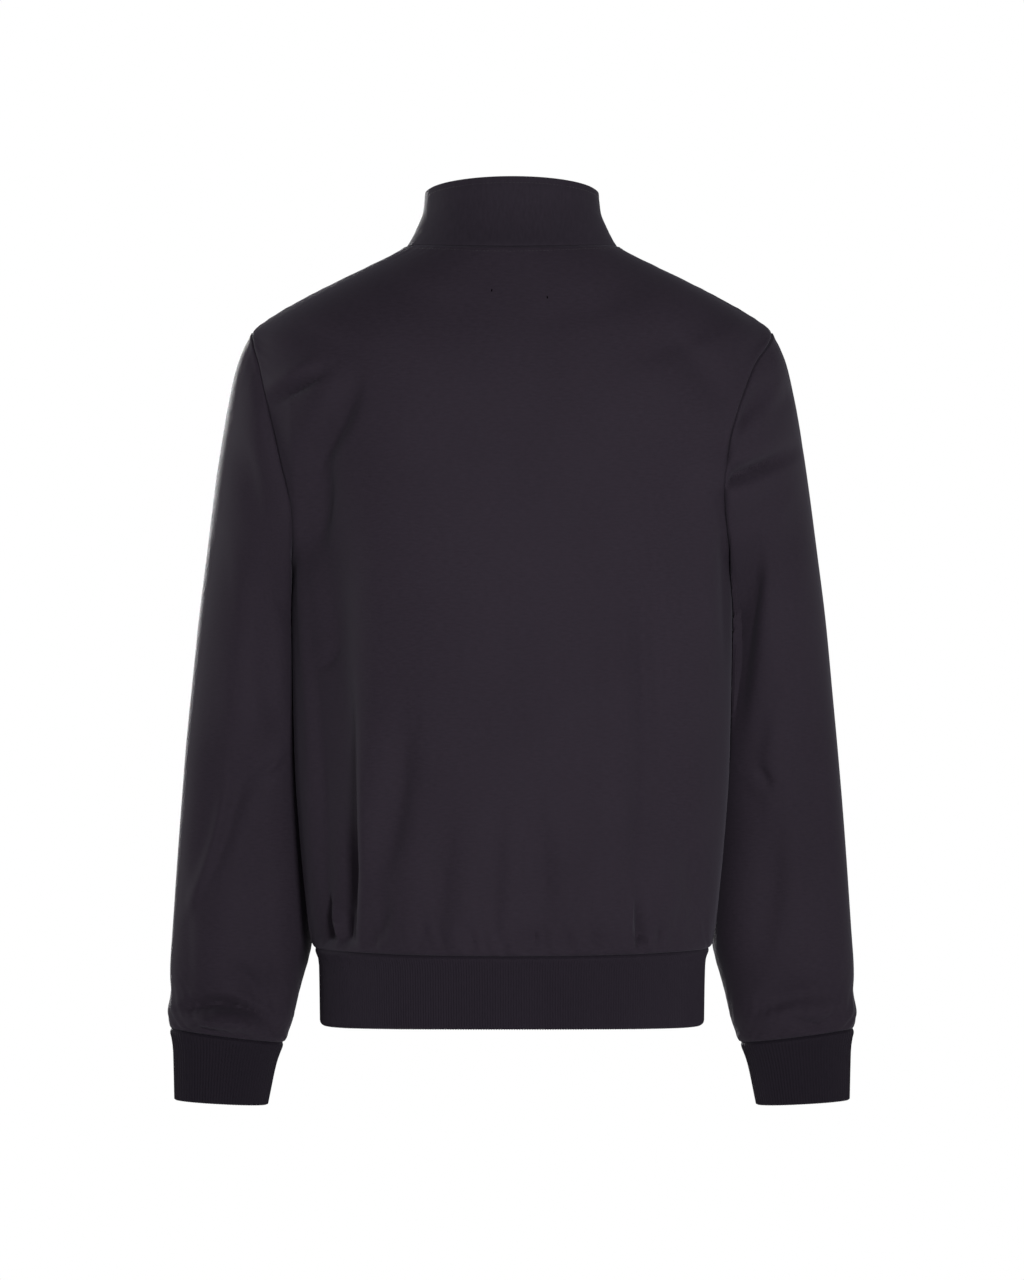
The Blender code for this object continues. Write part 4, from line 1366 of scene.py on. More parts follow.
@dataclass(frozen=True)
class KnitFinish:
    """Dark double-knit jersey: courses of tiny stitches, streaks along them and a faint sheen."""

    name: str
    dark: Triple
    light: Triple
    course: float = 0.95 * MM
    wale: float = 0.8 * MM
    stitch_height: float = 0.05 * MM
    streaks_along: Triple = (170.0, 620.0, 1.0)
    roughness: tuple[float, float] = (0.68, 0.82)
    sheen: float = 0.035
    gloss: float = 0.04
    contrast: float = 1.9
    sheen_tint: Triple = (0.86, 0.82, 1.0)
    waver: tuple[float, float] = (1.2, 0.8)  # how unevenly courses and wales run
    patches: float = 9.0  # how many soft patches there are in a metre
    course_share: float = 0.6  # courses against wales
    streak_share: float = 0.55  # streaks against patches
    stitch_share: float = 0.18  # stitches against both of those

    def material(self) -> Material:
        """Builds the finish.

        Returns:
            The material.
        """
        graph = FinishGraph(self.name)
        place = graph.cloth_place()
        courses = graph.wave(place, "Y", self.course, self.waver[0])
        wales = graph.wave(place, "X", self.wale, self.waver[1])
        streaks = graph.noise(graph.scaled(place, self.streaks_along), 1.0, 4.0, 0.62)
        streaks = graph.math("MULTIPLY_ADD", streaks, self.contrast, 0.5 - 0.5 * self.contrast)
        patches = graph.noise(graph.object_place(), self.patches, 3.0)
        stitches = graph.blend(courses, self.course_share, wales)
        tone = graph.blend(streaks, self.streak_share, patches)
        graph.tint(graph.blend(stitches, self.stitch_share, tone), self.dark, self.light)
        graph.bump(graph.math("ADD", streaks, stitches), self.stitch_height)
        graph.rough(streaks, *self.roughness)
        graph.shade(Sheen_Weight=self.sheen, Sheen_Roughness=0.5, Sheen_Tint=(*self.sheen_tint, 1.0),
                    Specular_IOR_Level=self.gloss)
        return graph.material


@dataclass(frozen=True)
class RibFinish(KnitFinish):
    """The same yarn in a denser, matt rib knit."""

    course: float = 0.9 * MM
    wale: float = 0.55 * MM
    stitch_height: float = 0.07 * MM
    streaks_along: Triple = (300.0, 180.0, 1.0)
    roughness: tuple[float, float] = (0.7, 0.84)
    sheen: float = 0.02
    contrast: float = 0.7


@dataclass(frozen=True)
class TwillFinish:
    """Woven zip tape with a fine diagonal rib."""

    name: str = "zip_tape_twill"
    dark: Triple = (0.013, 0.011, 0.015)
    light: Triple = (0.024, 0.021, 0.027)
    rib: float = 0.55 * MM
    slant: float = 38.0
    rib_share: float = 0.6  # ribs against single yarns

    def material(self) -> Material:
        """Builds the finish.

        Returns:
            The material.
        """
        graph = FinishGraph(self.name)
        place = graph.object_place()
        turned = graph.add("ShaderNodeVectorRotate", {"Vector": place, "Angle": math.radians(self.slant)},
                           rotation_type="Y_AXIS")
        twill = graph.wave(turned.outputs["Vector"], "X", self.rib, 0.6)
        yarn = graph.noise(place, 900.0, 2.0)
        graph.tint(graph.blend(twill, self.rib_share, yarn), self.dark, self.light)
        graph.bump(twill, 0.08 * MM)
        graph.rough(yarn, 0.68, 0.84)
        graph.shade(Sheen_Weight=0.1, Sheen_Roughness=0.5)
        return graph.material


@dataclass(frozen=True)
class HardFinish:
    """Moulded plastic or enamelled metal with rubbed high spots."""

    name: str
    dark: Triple
    light: Triple
    metallic: float
    roughness: tuple[float, float]
    grain: float
    grain_height: float
    rubbed_from: float = 0.5  # pointiness where the rubbing starts, and where it is full
    rubbed_to: float = 0.62

    def material(self) -> Material:
        """Builds the finish.

        Returns:
            The material.
        """
        graph = FinishGraph(self.name)
        place = graph.object_place()
        grain = graph.noise(place, self.grain, 3.0, 0.6)
        rubbed = graph.add("ShaderNodeNewGeometry").outputs["Pointiness"]
        limits = {"Value": rubbed, "From Min": self.rubbed_from, "From Max": self.rubbed_to}
        edge = graph.add("ShaderNodeMapRange", limits)
        graph.tint(graph.math("ADD", graph.math("MULTIPLY", grain, 0.5), edge.outputs["Result"]),
                   self.dark, self.light)
        graph.bump(grain, self.grain_height)
        graph.rough(grain, *self.roughness)
        graph.shade(Metallic=self.metallic)
        return graph.material


@dataclass(frozen=True)
class ThreadFinish:
    """Polyester sewing thread with a twisted ply."""

    name: str = "sewing_thread"
    dark: Triple = (0.0060, 0.0046, 0.0070)
    light: Triple = (0.0190, 0.0155, 0.0215)
    ply: float = 0.45 * MM
    gloss: float = 0.2
    fuzz: float = 0.05

    def material(self) -> Material:
        """Builds the finish.

        Returns:
            The material.
        """
        graph = FinishGraph(self.name)
        ply = graph.wave(graph.object_place(), "DIAGONAL", self.ply, 0.4)
        graph.tint(ply, self.dark, self.light)
        graph.bump(ply, 0.04 * MM)
        graph.rough(ply, 0.5, 0.64)
        graph.shade(Sheen_Weight=self.fuzz, Specular_IOR_Level=self.gloss)
        return graph.material


@dataclass
class Wardrobe:
    """The finishes of the jacket."""

    jersey: Material
    collar: Material
    rib: Material
    # painted shade: the cuffs' rib is the band's rib made darker, for the shadow that the cuffs hang in
    cuff: Material
    tape: Material
    teeth: Material
    enamel: Material
    thread: Material
    # real tack thread, coloured near-black as painted shade of the dimple that each tack pulls into the
    # cloth
    tack_thread: Material

    @classmethod
    def made(cls) -> "Wardrobe":
        """Builds every finish once.

        Returns:
            The finishes.
        """
        return cls(
            jersey=KnitFinish("jersey_knit", (0.0096, 0.0071, 0.0108), (0.0214, 0.0167, 0.0237)).material(),
            collar=KnitFinish("collar_knit", (0.0095, 0.0073, 0.0109), (0.0204, 0.0166, 0.0232),
                              streaks_along=(420.0, 110.0, 1.0)).material(),
            rib=RibFinish("rib_knit", (0.0079, 0.0061, 0.0093), (0.0162, 0.0128, 0.0187)).material(),
            # The cuffs' finish is the band's rib made darker: painted shade for the shadow that the cuffs
            # hang in.
            cuff=RibFinish("cuff_rib_knit", (0.0059, 0.0046, 0.0072), (0.0123, 0.0098, 0.0144)).material(),
            tape=TwillFinish().material(),
            teeth=HardFinish("moulded_teeth", (0.012, 0.011, 0.013), (0.026, 0.024, 0.028), 0.0, (0.3, 0.42),
                             1400.0, 0.02 * MM).material(),
            enamel=HardFinish("satin_enamel", (0.020, 0.018, 0.022), (0.075, 0.070, 0.078), 0.85,
                              (0.26, 0.4), 2200.0, 0.012 * MM).material(),
            thread=ThreadFinish().material(),
            # The tack thread is near-black and without gloss: its colour paints the shade of the dimple
            # round each tack.
            tack_thread=ThreadFinish("tack_thread", (0.0004, 0.0003, 0.0005), (0.0010, 0.0008, 0.0012),
                                     gloss=0.0, fuzz=0.0).material(),
        )


@dataclass
class Stitching:
    """A row of lockstitches lying on cloth."""

    stitch: float = 2.7 * MM
    gap: float = 0.55 * MM
    radius: float = 0.24 * MM
    sink: float = 0.05 * MM
    sides: int = 6
    rise: float = 0.55  # height of a stitch's middle over the cloth, in radii
    flatness: float = 0.8
    rings: tuple[Triple, ...] = (
        (0.0, 0.25, 0.22 * MM), (0.14, 0.85, 0.05 * MM), (0.5, 1.0, 0.0), (0.86, 0.85, 0.05 * MM),
        (1.0, 0.25, 0.22 * MM))  # share of a stitch's length, share of its radius, and depth

    def stitch_points(self, start: float, along: Array, points: Array,
                      normals: Array) -> list[Array]:
        """The points of one stitch, ring by ring.

        Args:
            start: Distance along the row where the stitch starts.
            along: Distance along it of each of its points.
            points: The row's points on the cloth.
            normals: The cloth's outward normals there.

        Returns:
            The points of its rings.
        """
        run = unit(read_along(start + self.stitch, along, points) - read_along(start, along, points))
        found = []
        for share, size, depth in self.rings:
            middle = read_along(start + share * self.stitch, along, points)
            out = read_along(start + share * self.stitch, along, normals)
            aside = unit(np.cross(run, out))
            centre = middle + out * (self.radius * self.rise - self.sink - depth)
            for turn in np.linspace(0.0, 2 * math.pi, self.sides, endpoint=False):
                around = aside * math.cos(turn) + out * self.flatness * math.sin(turn)
                found.append(centre + self.radius * size * around)
        return found

    def sewn(self, name: str, rows: Sequence[tuple[Array, Array]],
             material: Material) -> None:
        """Sews rows of stitches on the cloth, as one piece.

        Args:
            name: Name of the piece.
            rows: For each row its points and the cloth's outward normals there.
            material: The thread's finish.
        """
        vertices, faces = [], []
        for points, normals in rows:
            along = places_along(points)
            count = max(1, int(along[-1] // (self.stitch + self.gap)))
            for start in np.arange(count) * (along[-1] / count) + self.gap / 2:
                faces += skin_faces(len(vertices), len(self.rings), self.sides)
                vertices += self.stitch_points(start, along, points, normals)
        piece = add_piece(name, np.array(vertices), faces, material, 60.0)
        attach(piece, "jacket")
        report(piece)


def report(piece: Piece) -> None:
    """Logs a piece that is done."""
    LOG.info("%s: %d faces", piece.name, len(piece.data.polygons))


def declare_cloth(piece: Piece, cut: CutPiece) -> None:
    """Puts a cloth piece on the jacket's body and hides the solid that it replaces.

    Args:
        piece: The piece.
        cut: Its cut, named like the solid that the piece replaces.
    """
    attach(piece, "jacket")
    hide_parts(cut.name)
    report(piece)


@dataclass
class JerseyPart:
    """What the trunk and the sleeves share: how soft relief gives way to seams."""

    pattern: Pattern
    finishes: Wardrobe
    wander: float = 0.45 * MM
    crease_fade: float = 6.0 * MM  # beside a seam the creases die out over this
    corner_fade: float = 2.0 * MM  # where another seam crosses it, a seam dies out over this
    deepest: float = 2.4 * MM  # how far seams that meet may sink the cloth in all

    def soft_relief(self, creases: Sequence[Crease], cut: CutPiece) -> Array:
        """Height of the creases and the wander, smoothed out towards the seams at top and bottom.

        Args:
            creases: The creases that may lie on the piece.
            cut: The piece.

        Returns:
            A height in metres for each point.
        """
        soft = crease_relief(creases, cut.points, cut.normals) + wander_relief(cut.points, self.wander)
        return soft * (settled(cut.from_border(Border.TOP), self.crease_fade)
                       * settled(cut.from_border(Border.BOTTOM), self.crease_fade))

    def at_corners(self, cut: CutPiece) -> Array:
        """Share of a side seam's relief that is left beside the seams at top and bottom."""
        nearer = np.minimum(cut.from_border(Border.TOP), cut.from_border(Border.BOTTOM))
        return settled(nearer, self.corner_fade)


@dataclass
class Trunk(JerseyPart):
    """The back and the two fronts."""

    roll_fade: float = 3.0 * MM  # the roll beside neck and hem dies out over this beside another seam
    neck_stitch: float = 5.6 * MM
    front_stitch: float = 7.0 * MM
    dent: float = 0.22 * MM
    dent_width: float = 1.3 * MM
    tack_length: float = 2.6 * MM
    tack_radius: float = 0.55 * MM
    tack_share: float = 0.9  # how much of a tack's line its thread fills
    tacks: tuple[tuple[float, float], ...] = ((16.2, -44.6), (-31.4, -48.6))  # across and up, in mm

    def relief(self, cut: CutPiece, seams: dict[Border, Seam]) -> Array:
        """Height of a trunk piece's outer face over its smooth form.

        Args:
            cut: The piece.
            seams: The seams at its two sides.

        Returns:
            A height in metres for each point.
        """
        top, bottom = cut.from_border(Border.TOP), cut.from_border(Border.BOTTOM)
        soft = self.soft_relief(BODY_CREASES, cut)
        hard = NECK_SEAM.relief(top, cut.across) + RIB_SEAM.relief(bottom, cut.across)
        hard = eased_at_sides(hard, cut.normals)
        hard += stitch_dent(top, self.neck_stitch, self.dent, self.dent_width)
        for border, seam in seams.items():
            distance = cut.nearest(border)
            soft *= settled(distance, self.crease_fade)
            hard = np.where(hard > 0.0, hard * settled(distance, self.roll_fade), hard)
            hard += seam.relief(distance, cut.down) * self.at_corners(cut) * seam.shown(cut.points[:, :, 2])
        relief = soft + np.maximum(hard, -self.deepest)
        for edge in cut.folded:
            relief += stitch_dent(cut.from_border(edge), self.front_stitch, self.dent, self.dent_width)
        return relief

    def build(self) -> dict[str, ClothWall]:
        """Builds the back and fronts.

        Returns:
            Each piece's wall by name, for what is sewn on it.
        """
        walls = {}
        left, right = ARMHOLE_SEAMS[Side.LEFT], ARMHOLE_SEAMS[Side.RIGHT]
        sides = {"back": {Border.START: left, Border.END: right},
                 "front_left": {Border.END: left}, "front_right": {Border.START: right}}
        for name, seams in sides.items():
            cut = self.pattern.cuts[name]
            walls[name] = ClothWall(cut, self.relief(cut, seams))
            piece = walls[name].build(self.finishes.jersey)
            declare_cloth(piece, cut)
        return walls

    def tack(self, wall: ClothWall, x: float, z: float) -> tuple[Array, Array]:
        """A line of one short stitch on the back at a place seen from behind, and its outward normals.

        Args:
            wall: Wall of the back.
            x: Place across, in millimetres.
            z: Its height.

        Returns:
            The two points and their normals.
        """
        place = np.array([x, z]) * MM
        away = np.linalg.norm(wall.outer[:, :, [0, 2]] - place, axis=2)
        row, column = np.unravel_index(np.argmin(away), away.shape)
        points, normals = wall.outer[row:row + 2, column], wall.cut.normals[row:row + 2, column]
        return points[0] + np.outer([0.0, 1.0], unit(points[1] - points[0]) * self.tack_length), normals

    def stitches(self, walls: dict[str, ClothWall]) -> None:
        """Sews the row under the neck seam, the rows beside the zip and the tacks on the back.

        Args:
            walls: Each piece's wall by name.
        """
        neck = [wall.line_beside(Border.TOP, self.neck_stitch) for wall in walls.values()]
        Stitching().sewn("neck_stitches", neck, self.finishes.thread)
        fronts = [wall.line_beside(edge, self.front_stitch) for wall in walls.values()
                  for edge in wall.cut.folded]
        Stitching().sewn("front_edge_stitches", fronts, self.finishes.thread)
        tacks = [self.tack(walls["back"], x, z) for x, z in self.tacks]
        sewing = Stitching(stitch=self.tack_length * self.tack_share, radius=self.tack_radius,
                           gap=self.tack_length * (1.0 - self.tack_share))
        # the tacks' near-black thread is painted shade of their dimples
        sewing.sewn("back_tacks", tacks, self.finishes.tack_thread)


@dataclass
class StandCollar:
    """The doubled stand collar with its folded and stitched edge."""

    pattern: Pattern
    finishes: Wardrobe
    edge_stitch: float = 5.0 * MM
    dent: float = 0.35 * MM
    dent_width: float = 1.2 * MM
    wander: float = 0.3 * MM
    crease_fade: float = 6.0 * MM

    def build(self) -> None:
        """Builds the collar and sews its edge."""
        cut = self.pattern.cuts["collar"]
        top, bottom = cut.from_border(Border.TOP), cut.from_border(Border.BOTTOM)
        relief = crease_relief(COLLAR_CREASES, cut.points, cut.normals)
        relief += wander_relief(cut.points, self.wander)
        relief *= settled(bottom, self.crease_fade)
        relief += COLLAR_SEAM.relief(bottom, cut.across)
        relief += stitch_dent(top, self.edge_stitch, self.dent, self.dent_width)
        wall = ClothWall(cut, relief)
        piece = wall.build(self.finishes.collar)
        declare_cloth(piece, cut)
        edge = [wall.line_beside(Border.TOP, self.edge_stitch)]
        Stitching().sewn("collar_edge_stitches", edge, self.finishes.thread)


@dataclass
class Sleeves(JerseyPart):
    """The two set-in sleeves."""

    wander: float = 0.5 * MM

    def build(self) -> None:
        """Builds both sleeves."""
        for side in Side:
            cut = self.pattern.cuts["sleeve_" + side.label]
            armhole = ARMHOLE_SEAMS[side]
            soft = self.soft_relief(SLEEVE_CREASES[side], cut)
            hard = armhole.relief(cut.from_border(Border.TOP), cut.across)
            hard *= armhole.shown(cut.points[:, :, 2])
            hard += eased_at_sides(RIB_SEAM.relief(cut.from_border(Border.BOTTOM), cut.across), cut.normals)
            for border in (Border.START, Border.END):
                distance = cut.from_border(border)
                soft *= settled(distance, self.crease_fade)
                hard += SIDE_SEAM.relief(distance, cut.down) * self.at_corners(cut)
            piece = ClothWall(cut, soft + np.maximum(hard, -self.deepest)).build(self.finishes.jersey)
            declare_cloth(piece, cut)


@dataclass
class Ribbing:
    """The hem band and cuffs in doubled rib knit, with every rib raised."""

    pattern: Pattern
    finishes: Wardrobe
    height: float = 0.6 * MM
    seam_fade: float = 2.4 * MM
    stray: float = 0.03  # how far ribs wander sideways, in ribs
    stray_turns: float = 70.0  # a metre, in radians
    crown: float = 0.8  # power of a rib's profile; below one it is fuller
    uneven: tuple[Triple, ...] = ((0.05, 0.21, 0.0), (0.04, 0.53, 1.0))

    def relief(self, cut: CutPiece) -> Array:
        """Height of the ribs, sunk at the seam where they are sewn on.

        Args:
            cut: The piece.

        Returns:
            A height in metres for each point.
        """
        top = cut.from_border(Border.TOP)
        count = (cut.points.shape[1] - 1) // RIB_SAMPLES
        number = np.linspace(0.0, count, cut.points.shape[1]) + self.stray * np.sin(top * self.stray_turns)
        ribs = (0.5 + 0.5 * np.cos(2 * math.pi * number)) ** self.crown
        uneven = 1.0 + sum(share * np.sin(number * turn + start) for share, turn, start in self.uneven)
        seam = eased_at_sides(BAND_SEAM.relief(top, cut.across), cut.normals)
        return self.height * ribs * uneven * settled(top, self.seam_fade) + seam

    def build(self) -> None:
        """Builds the band and both cuffs."""
        hangs_from = {"hem_band": ["back_cloth", "front_left_cloth", "front_right_cloth"],
                      "cuff_left": ["sleeve_left_cloth"], "cuff_right": ["sleeve_right_cloth"]}
        for name, above in hangs_from.items():
            cut = self.pattern.cuts[name]
            # the cuffs take the darker copy of the rib, whose colour paints in their shade
            knit = self.finishes.rib if name == "hem_band" else self.finishes.cuff
            piece = ClothWall(cut, self.relief(cut)).build(knit)
            declare_cloth(piece, cut)


Outline = Sequence[tuple[float, float]]


def mirrored(half: Outline) -> list[tuple[float, float]]:
    """A half outline and its mirror image across the middle."""
    return [*half, *((-x, z) for x, z in reversed(half))]


def block(half: float, low: float, high: float) -> Outline:
    """A rectangle as wide either way of the middle as `half`."""
    return (-half, low), (half, low), (half, high), (-half, high)


TAPE_PROFILE = ((0.0, 0.0), (0.0, -0.25), (0.06, -0.32), (0.14, 0.0), (0.55, 0.0), (1.0, 0.0))
"""Share of the tape's width and rise in millimetres, with a bead under the teeth."""
TOOTH_HALF = ((3.05, 0.62), (1.6, 0.62), (1.15, 0.42), (0.45, 0.4), (0.0, 0.68), (-0.55, 0.7), (-0.95, 0.42))
"""Distance from the centre line and half-height of a tooth, in millimetres."""
TOOTH_LAYERS = ((0.0, 0.72), (0.12, 1.0), (0.88, 1.0), (1.0, 0.72))
"""Share of a tooth's thickness and share of its outline."""
SHIELD_HALF = ((-0.62, 1.0), (-1.0, 0.62), (-0.98, 0.1), (-0.8, -0.35), (-0.72, -0.9), (-0.6, -1.0))
"""Half outline of the slider's plates, in half-widths and half-heights."""
SLIDER_POST = ((-1.5, -2.5), (1.5, -2.5), (1.1, 0.0), (-1.1, 0.0))
"""The post between the slider's plates, in millimetres."""
BOX_OUTLINE = ((-1.0, -1.0), (1.0, -1.0), (1.0, 0.55), (0.12, 0.75), (-1.0, 0.75))
"""Outline of the box with its pin, in half-widths and half-heights."""


class ZipRow(NamedTuple):
    """A place on the zip's centre line: its middle, the outward direction, and the tape's depth below it."""

    middle: Array
    out: Array
    depth: float


@dataclass
class FrontZip:
    """The open-ended front zip, closed: tapes, moulded teeth, slider, pull tab and box."""

    pattern: Pattern
    finishes: Wardrobe
    chain_width: float = 6.0 * MM
    chain_thickness: float = 2.4 * MM
    chain_proud: float = 1.6 * MM
    tape_thickness: float = 0.9 * MM
    tape_reach: float = 9.0 * MM
    tape_inner: float = 1.7 * MM
    gap: float = 0.3 * MM
    stop_height: float = 9.0 * MM
    pitch: float = 3.1 * MM
    slider_width: float = 9.6 * MM
    slider_height: float = 12.0 * MM
    plate: float = 1.5 * MM
    hole_radius: float = 1.35 * MM
    bridge_width: float = 1.8 * MM
    bridge_wall: float = 1.1 * MM
    tab_length: float = 25.0 * MM
    tab_width: float = 6.6 * MM
    tab_thickness: float = 1.2 * MM
    tab_bar: float = 1.4 * MM
    tab_eye: float = 3.4 * MM
    tab_bevel: float = 0.25 * MM
    tab_corner: float = 0.8 * MM
    tab_end: float = 2.4 * MM
    tab_waist: float = 0.86
    tab_neck: float = 7.5 * MM  # from the tab's top to its waist
    eye_play: float = 0.35 * MM
    grips: int = 4
    grip_pitch: float = 1.5 * MM
    grip_proud: float = 0.18 * MM
    first_grip: float = 3.2 * MM  # over the tab's lower end
    grip_height: float = 0.28 * MM  # half of it, for this and the box's ridges
    ridge_height: float = 0.18 * MM
    chain_under_slider: float = 3.5 * MM
    bridge_steps: int = 16

    def __post_init__(self) -> None:
        """Works out the zip's centre line from the collar's top, its foot and the pull tab's hinge."""
        self.rows = self.centre_line()
        self.hem = float(self.rows[-1].middle[2])
        self.hinge = Vector(frame["joints"][0]["pos_m"])

    def edge_line(self, side: Side) -> list[tuple[Array, Array, Array, float]]:
        """One front edge from collar to hem.

        Args:
            side: The wearer's side.

        Returns:
            For each point itself, the way from the zip, the outward way and the thickness.
        """
        line = []
        edge = Border.END if side is Side.RIGHT else Border.START
        for name in ("collar", "front_" + side.label, "hem_band"):
            cut = self.pattern.cuts[name]
            starts, ways = border_of(cut.points, edge), border_of(cut.normals, edge)
            for start, inside, out in zip(starts, border_of(cut.points, edge, 1), ways):
                thickness = cut.thickness
                if line and np.allclose(line[-1][0], start, atol=1e-6):
                    thickness = max(line.pop()[3], thickness)
                line.append((start, unit(inside - start), out, thickness))
        return line

    def centre_line(self) -> list[ZipRow]:
        """The zip's centre line from the collar's top to the hem.

        Returns:
            Its places.
        """
        rows = []
        for a, b in zip(self.edge_line(Side.LEFT), self.edge_line(Side.RIGHT)):
            out = unit(np.array([0.0, *(a[2] + b[2])[1:]]))
            rows.append(ZipRow((a[0] + b[0]) / 2, out, max(a[3], b[3]) + self.gap))
        return rows

    def row_at(self, height: float) -> ZipRow:
        """The place on the centre line at one height.

        Args:
            height: The height, in metres.

        Returns:
            The place there.
        """
        heights = np.array([row.middle[2] for row in self.rows])
        i = int(np.clip(np.searchsorted(-heights, -height) - 1, 0, len(heights) - 2))
        t = (heights[i] - height) / (heights[i] - heights[i + 1])
        one, two = self.rows[i:i + 2]
        return ZipRow(one.middle * (1 - t) + two.middle * t, unit(one.out * (1 - t) + two.out * t),
                      one.depth * (1 - t) + two.depth * t)

    def tape(self, side: Side) -> Piece:
        """The woven tape sewn under one front edge, with a bead under the teeth.

        Args:
            side: The wearer's side.

        Returns:
            The tape.
        """
        beside = np.array([side.value * self.tape_inner, 0.0, 0.0])
        fronts, backs = [], []
        for (start, away, out, _), row in zip(self.edge_line(side), self.rows):
            near, far = row.middle + beside, start + away * self.tape_reach
            for kept, depth, sign in ((fronts, 0.0, 1.0), (backs, self.tape_thickness, -1.0)):
                kept.append([near * (1 - t) + far * t - (row.out * (1 - t) + out * t)
                             * (row.depth + depth + sign * rise * MM) for t, rise in TAPE_PROFILE])
        rings = np.concatenate([np.array(fronts), np.array(backs)[:, ::-1]], axis=1)
        rings[0, :, 2] -= self.gap
        rings[-1, :, 2] += self.gap
        faces = skin_faces(0, *rings.shape[:2])
        name = "zip_tape_" + side.label + "_woven"
        return add_piece(name, rings.reshape(-1, 3), faces, self.finishes.tape, 50.0)

    def teeth(self) -> Piece:
        """Both rows of moulded teeth, meshed along the centre line.

        Returns:
            The teeth as one piece.
        """
        outline = np.array([*TOOTH_HALF, *((x, -z) for x, z in reversed(TOOTH_HALF))]) * MM
        centre = outline.mean(axis=0)
        vertices, faces = [], []
        top = self.hinge.z + self.slider_height / 2 - self.chain_under_slider - self.gap
        bottom = self.hem + self.stop_height + self.gap
        for k in range(int((top - bottom) / (self.pitch / 2)) - 1):
            side = 1 if k % 2 else -1
            row = self.row_at(top - (k + 1) * self.pitch / 2)
            up = np.cross(row.out, np.array([1.0, 0.0, 0.0]))
            up *= np.sign(up[2])
            faces += skin_faces(len(vertices), len(TOOTH_LAYERS), len(outline))
            for share, size in TOOTH_LAYERS:
                depth = row.depth - self.chain_proud + share * self.chain_thickness
                for x, z in centre + (outline - centre) * size:
                    vertices.append(row.middle + np.array([side * x, 0.0, 0.0]) + up * z - row.out * depth)
        return add_piece("zip_teeth_row", np.array(vertices), faces, self.finishes.teeth, 35.0)

    def add_plate(self, shape: Shape, outline: Outline, front: float, depth: float,
                  middle_z: float, bevel: float) -> None:
        """Adds a bevelled plate of a given outline to a mesh.

        Args:
            shape: The mesh.
            outline: The plate's corners as distance from the middle across and up.
            front: Y of its front face.
            depth: Its thickness.
            middle_z: Height of the outline's origin.
            bevel: Radius of its rounded edges.
        """
        ring = [shape.verts.new((x, front, middle_z + z)) for x, z in outline]
        face = shape.faces.new(ring)
        grown = bmesh.ops.extrude_face_region(shape, geom=[face])
        moved = [g for g in grown["geom"] if isinstance(g, bmesh.types.BMVert)]
        bmesh.ops.translate(shape, vec=(0.0, depth, 0.0), verts=moved)
        edges = {edge for vert in [*ring, *moved] for edge in vert.link_edges}
        bmesh.ops.bevel(shape, geom=list(edges), offset=bevel, segments=3, profile=0.6, affect="EDGES",
                        clamp_overlap=True)

    def slider(self) -> Piece:
        """The slider: shield-shaped front and back plates with flanges, a post and an arched bridge.

        Returns:
            The slider.
        """
        row = self.row_at(self.hinge.z)
        chain_face = row.middle[1] + row.depth - self.chain_proud
        front = chain_face - self.gap - self.plate
        back = max(row.middle[1] + row.depth + 1.0 * MM, chain_face + self.chain_thickness) + self.gap
        w, h = self.slider_width / 2, self.slider_height / 2
        shield = [(x * w, z * h) for x, z in mirrored(SHIELD_HALF)]
        shape = bmesh.new()
        self.add_plate(shape, shield, front, self.plate, self.hinge.z, 0.4 * MM)
        self.add_plate(shape, shield, back, self.plate, self.hinge.z, 0.35 * MM)
        post = [(x * MM, z * MM) for x, z in SLIDER_POST]
        post_top = self.hinge.z + h - 1.0 * MM
        self.add_plate(shape, post, front + 0.4 * MM, back - front + 0.7 * MM, post_top, 0.2 * MM)
        for sign in (-1, 1):
            flange = [(x + sign * (w - 0.62 * MM), z) for x, z in block(0.5 * MM, -0.3 * h, 0.75 * h)]
            self.add_plate(shape, flange, front + self.plate - 0.2 * MM, 0.75 * MM, self.hinge.z, 0.2 * MM)
        self.add_bridge(shape, front)
        return show(bpy.data.meshes.new("zip_slider_cast"), shape, self.finishes.enamel, 30.0)

    def add_bridge(self, shape: Shape, front: float) -> None:
        """Adds the arch that the pull tab's bar turns in.

        Args:
            shape: The mesh.
            front: Y of the slider's front face.
        """
        inner, outer = self.hole_radius, self.hole_radius + self.bridge_wall
        half = self.bridge_width / 2
        root = front + 0.3 * MM - self.hinge.y
        arch = [(-math.sin(a), math.cos(a)) for a in np.linspace(0.0, math.pi, self.bridge_steps + 1)]
        corners = ((inner, -half), (inner, half), (outer, half), (outer, -half))
        rings = []
        for y, z in (None, 1.0), *arch, (None, -1.0):
            places = [(x, self.hinge.y + (root if y is None else y * radius), self.hinge.z + z * radius)
                      for radius, x in corners]
            rings.append([shape.verts.new(place) for place in places])
        for one, two in zip(rings, rings[1:]):
            for s in range(4):
                t = (s + 1) % 4
                shape.faces.new((one[s], one[t], two[t], two[s]))
        shape.faces.new(rings[0])
        shape.faces.new(rings[-1])

    def rounded(self, half: float, top: float, radius: float, steps: int) -> list[tuple[float, float]]:
        """The two top corners of the tab, rounded, from right to left.

        Args:
            half: Half-width of the tab.
            top: Height of its end.
            radius: Radius of the corners.
            steps: Points in each.

        Returns:
            Points of the outline.
        """
        turns = np.radians(np.linspace(0.0, 90.0, steps))
        return mirrored([(half - radius + radius * math.cos(turn), top - radius + radius * math.sin(turn))
                         for turn in turns])

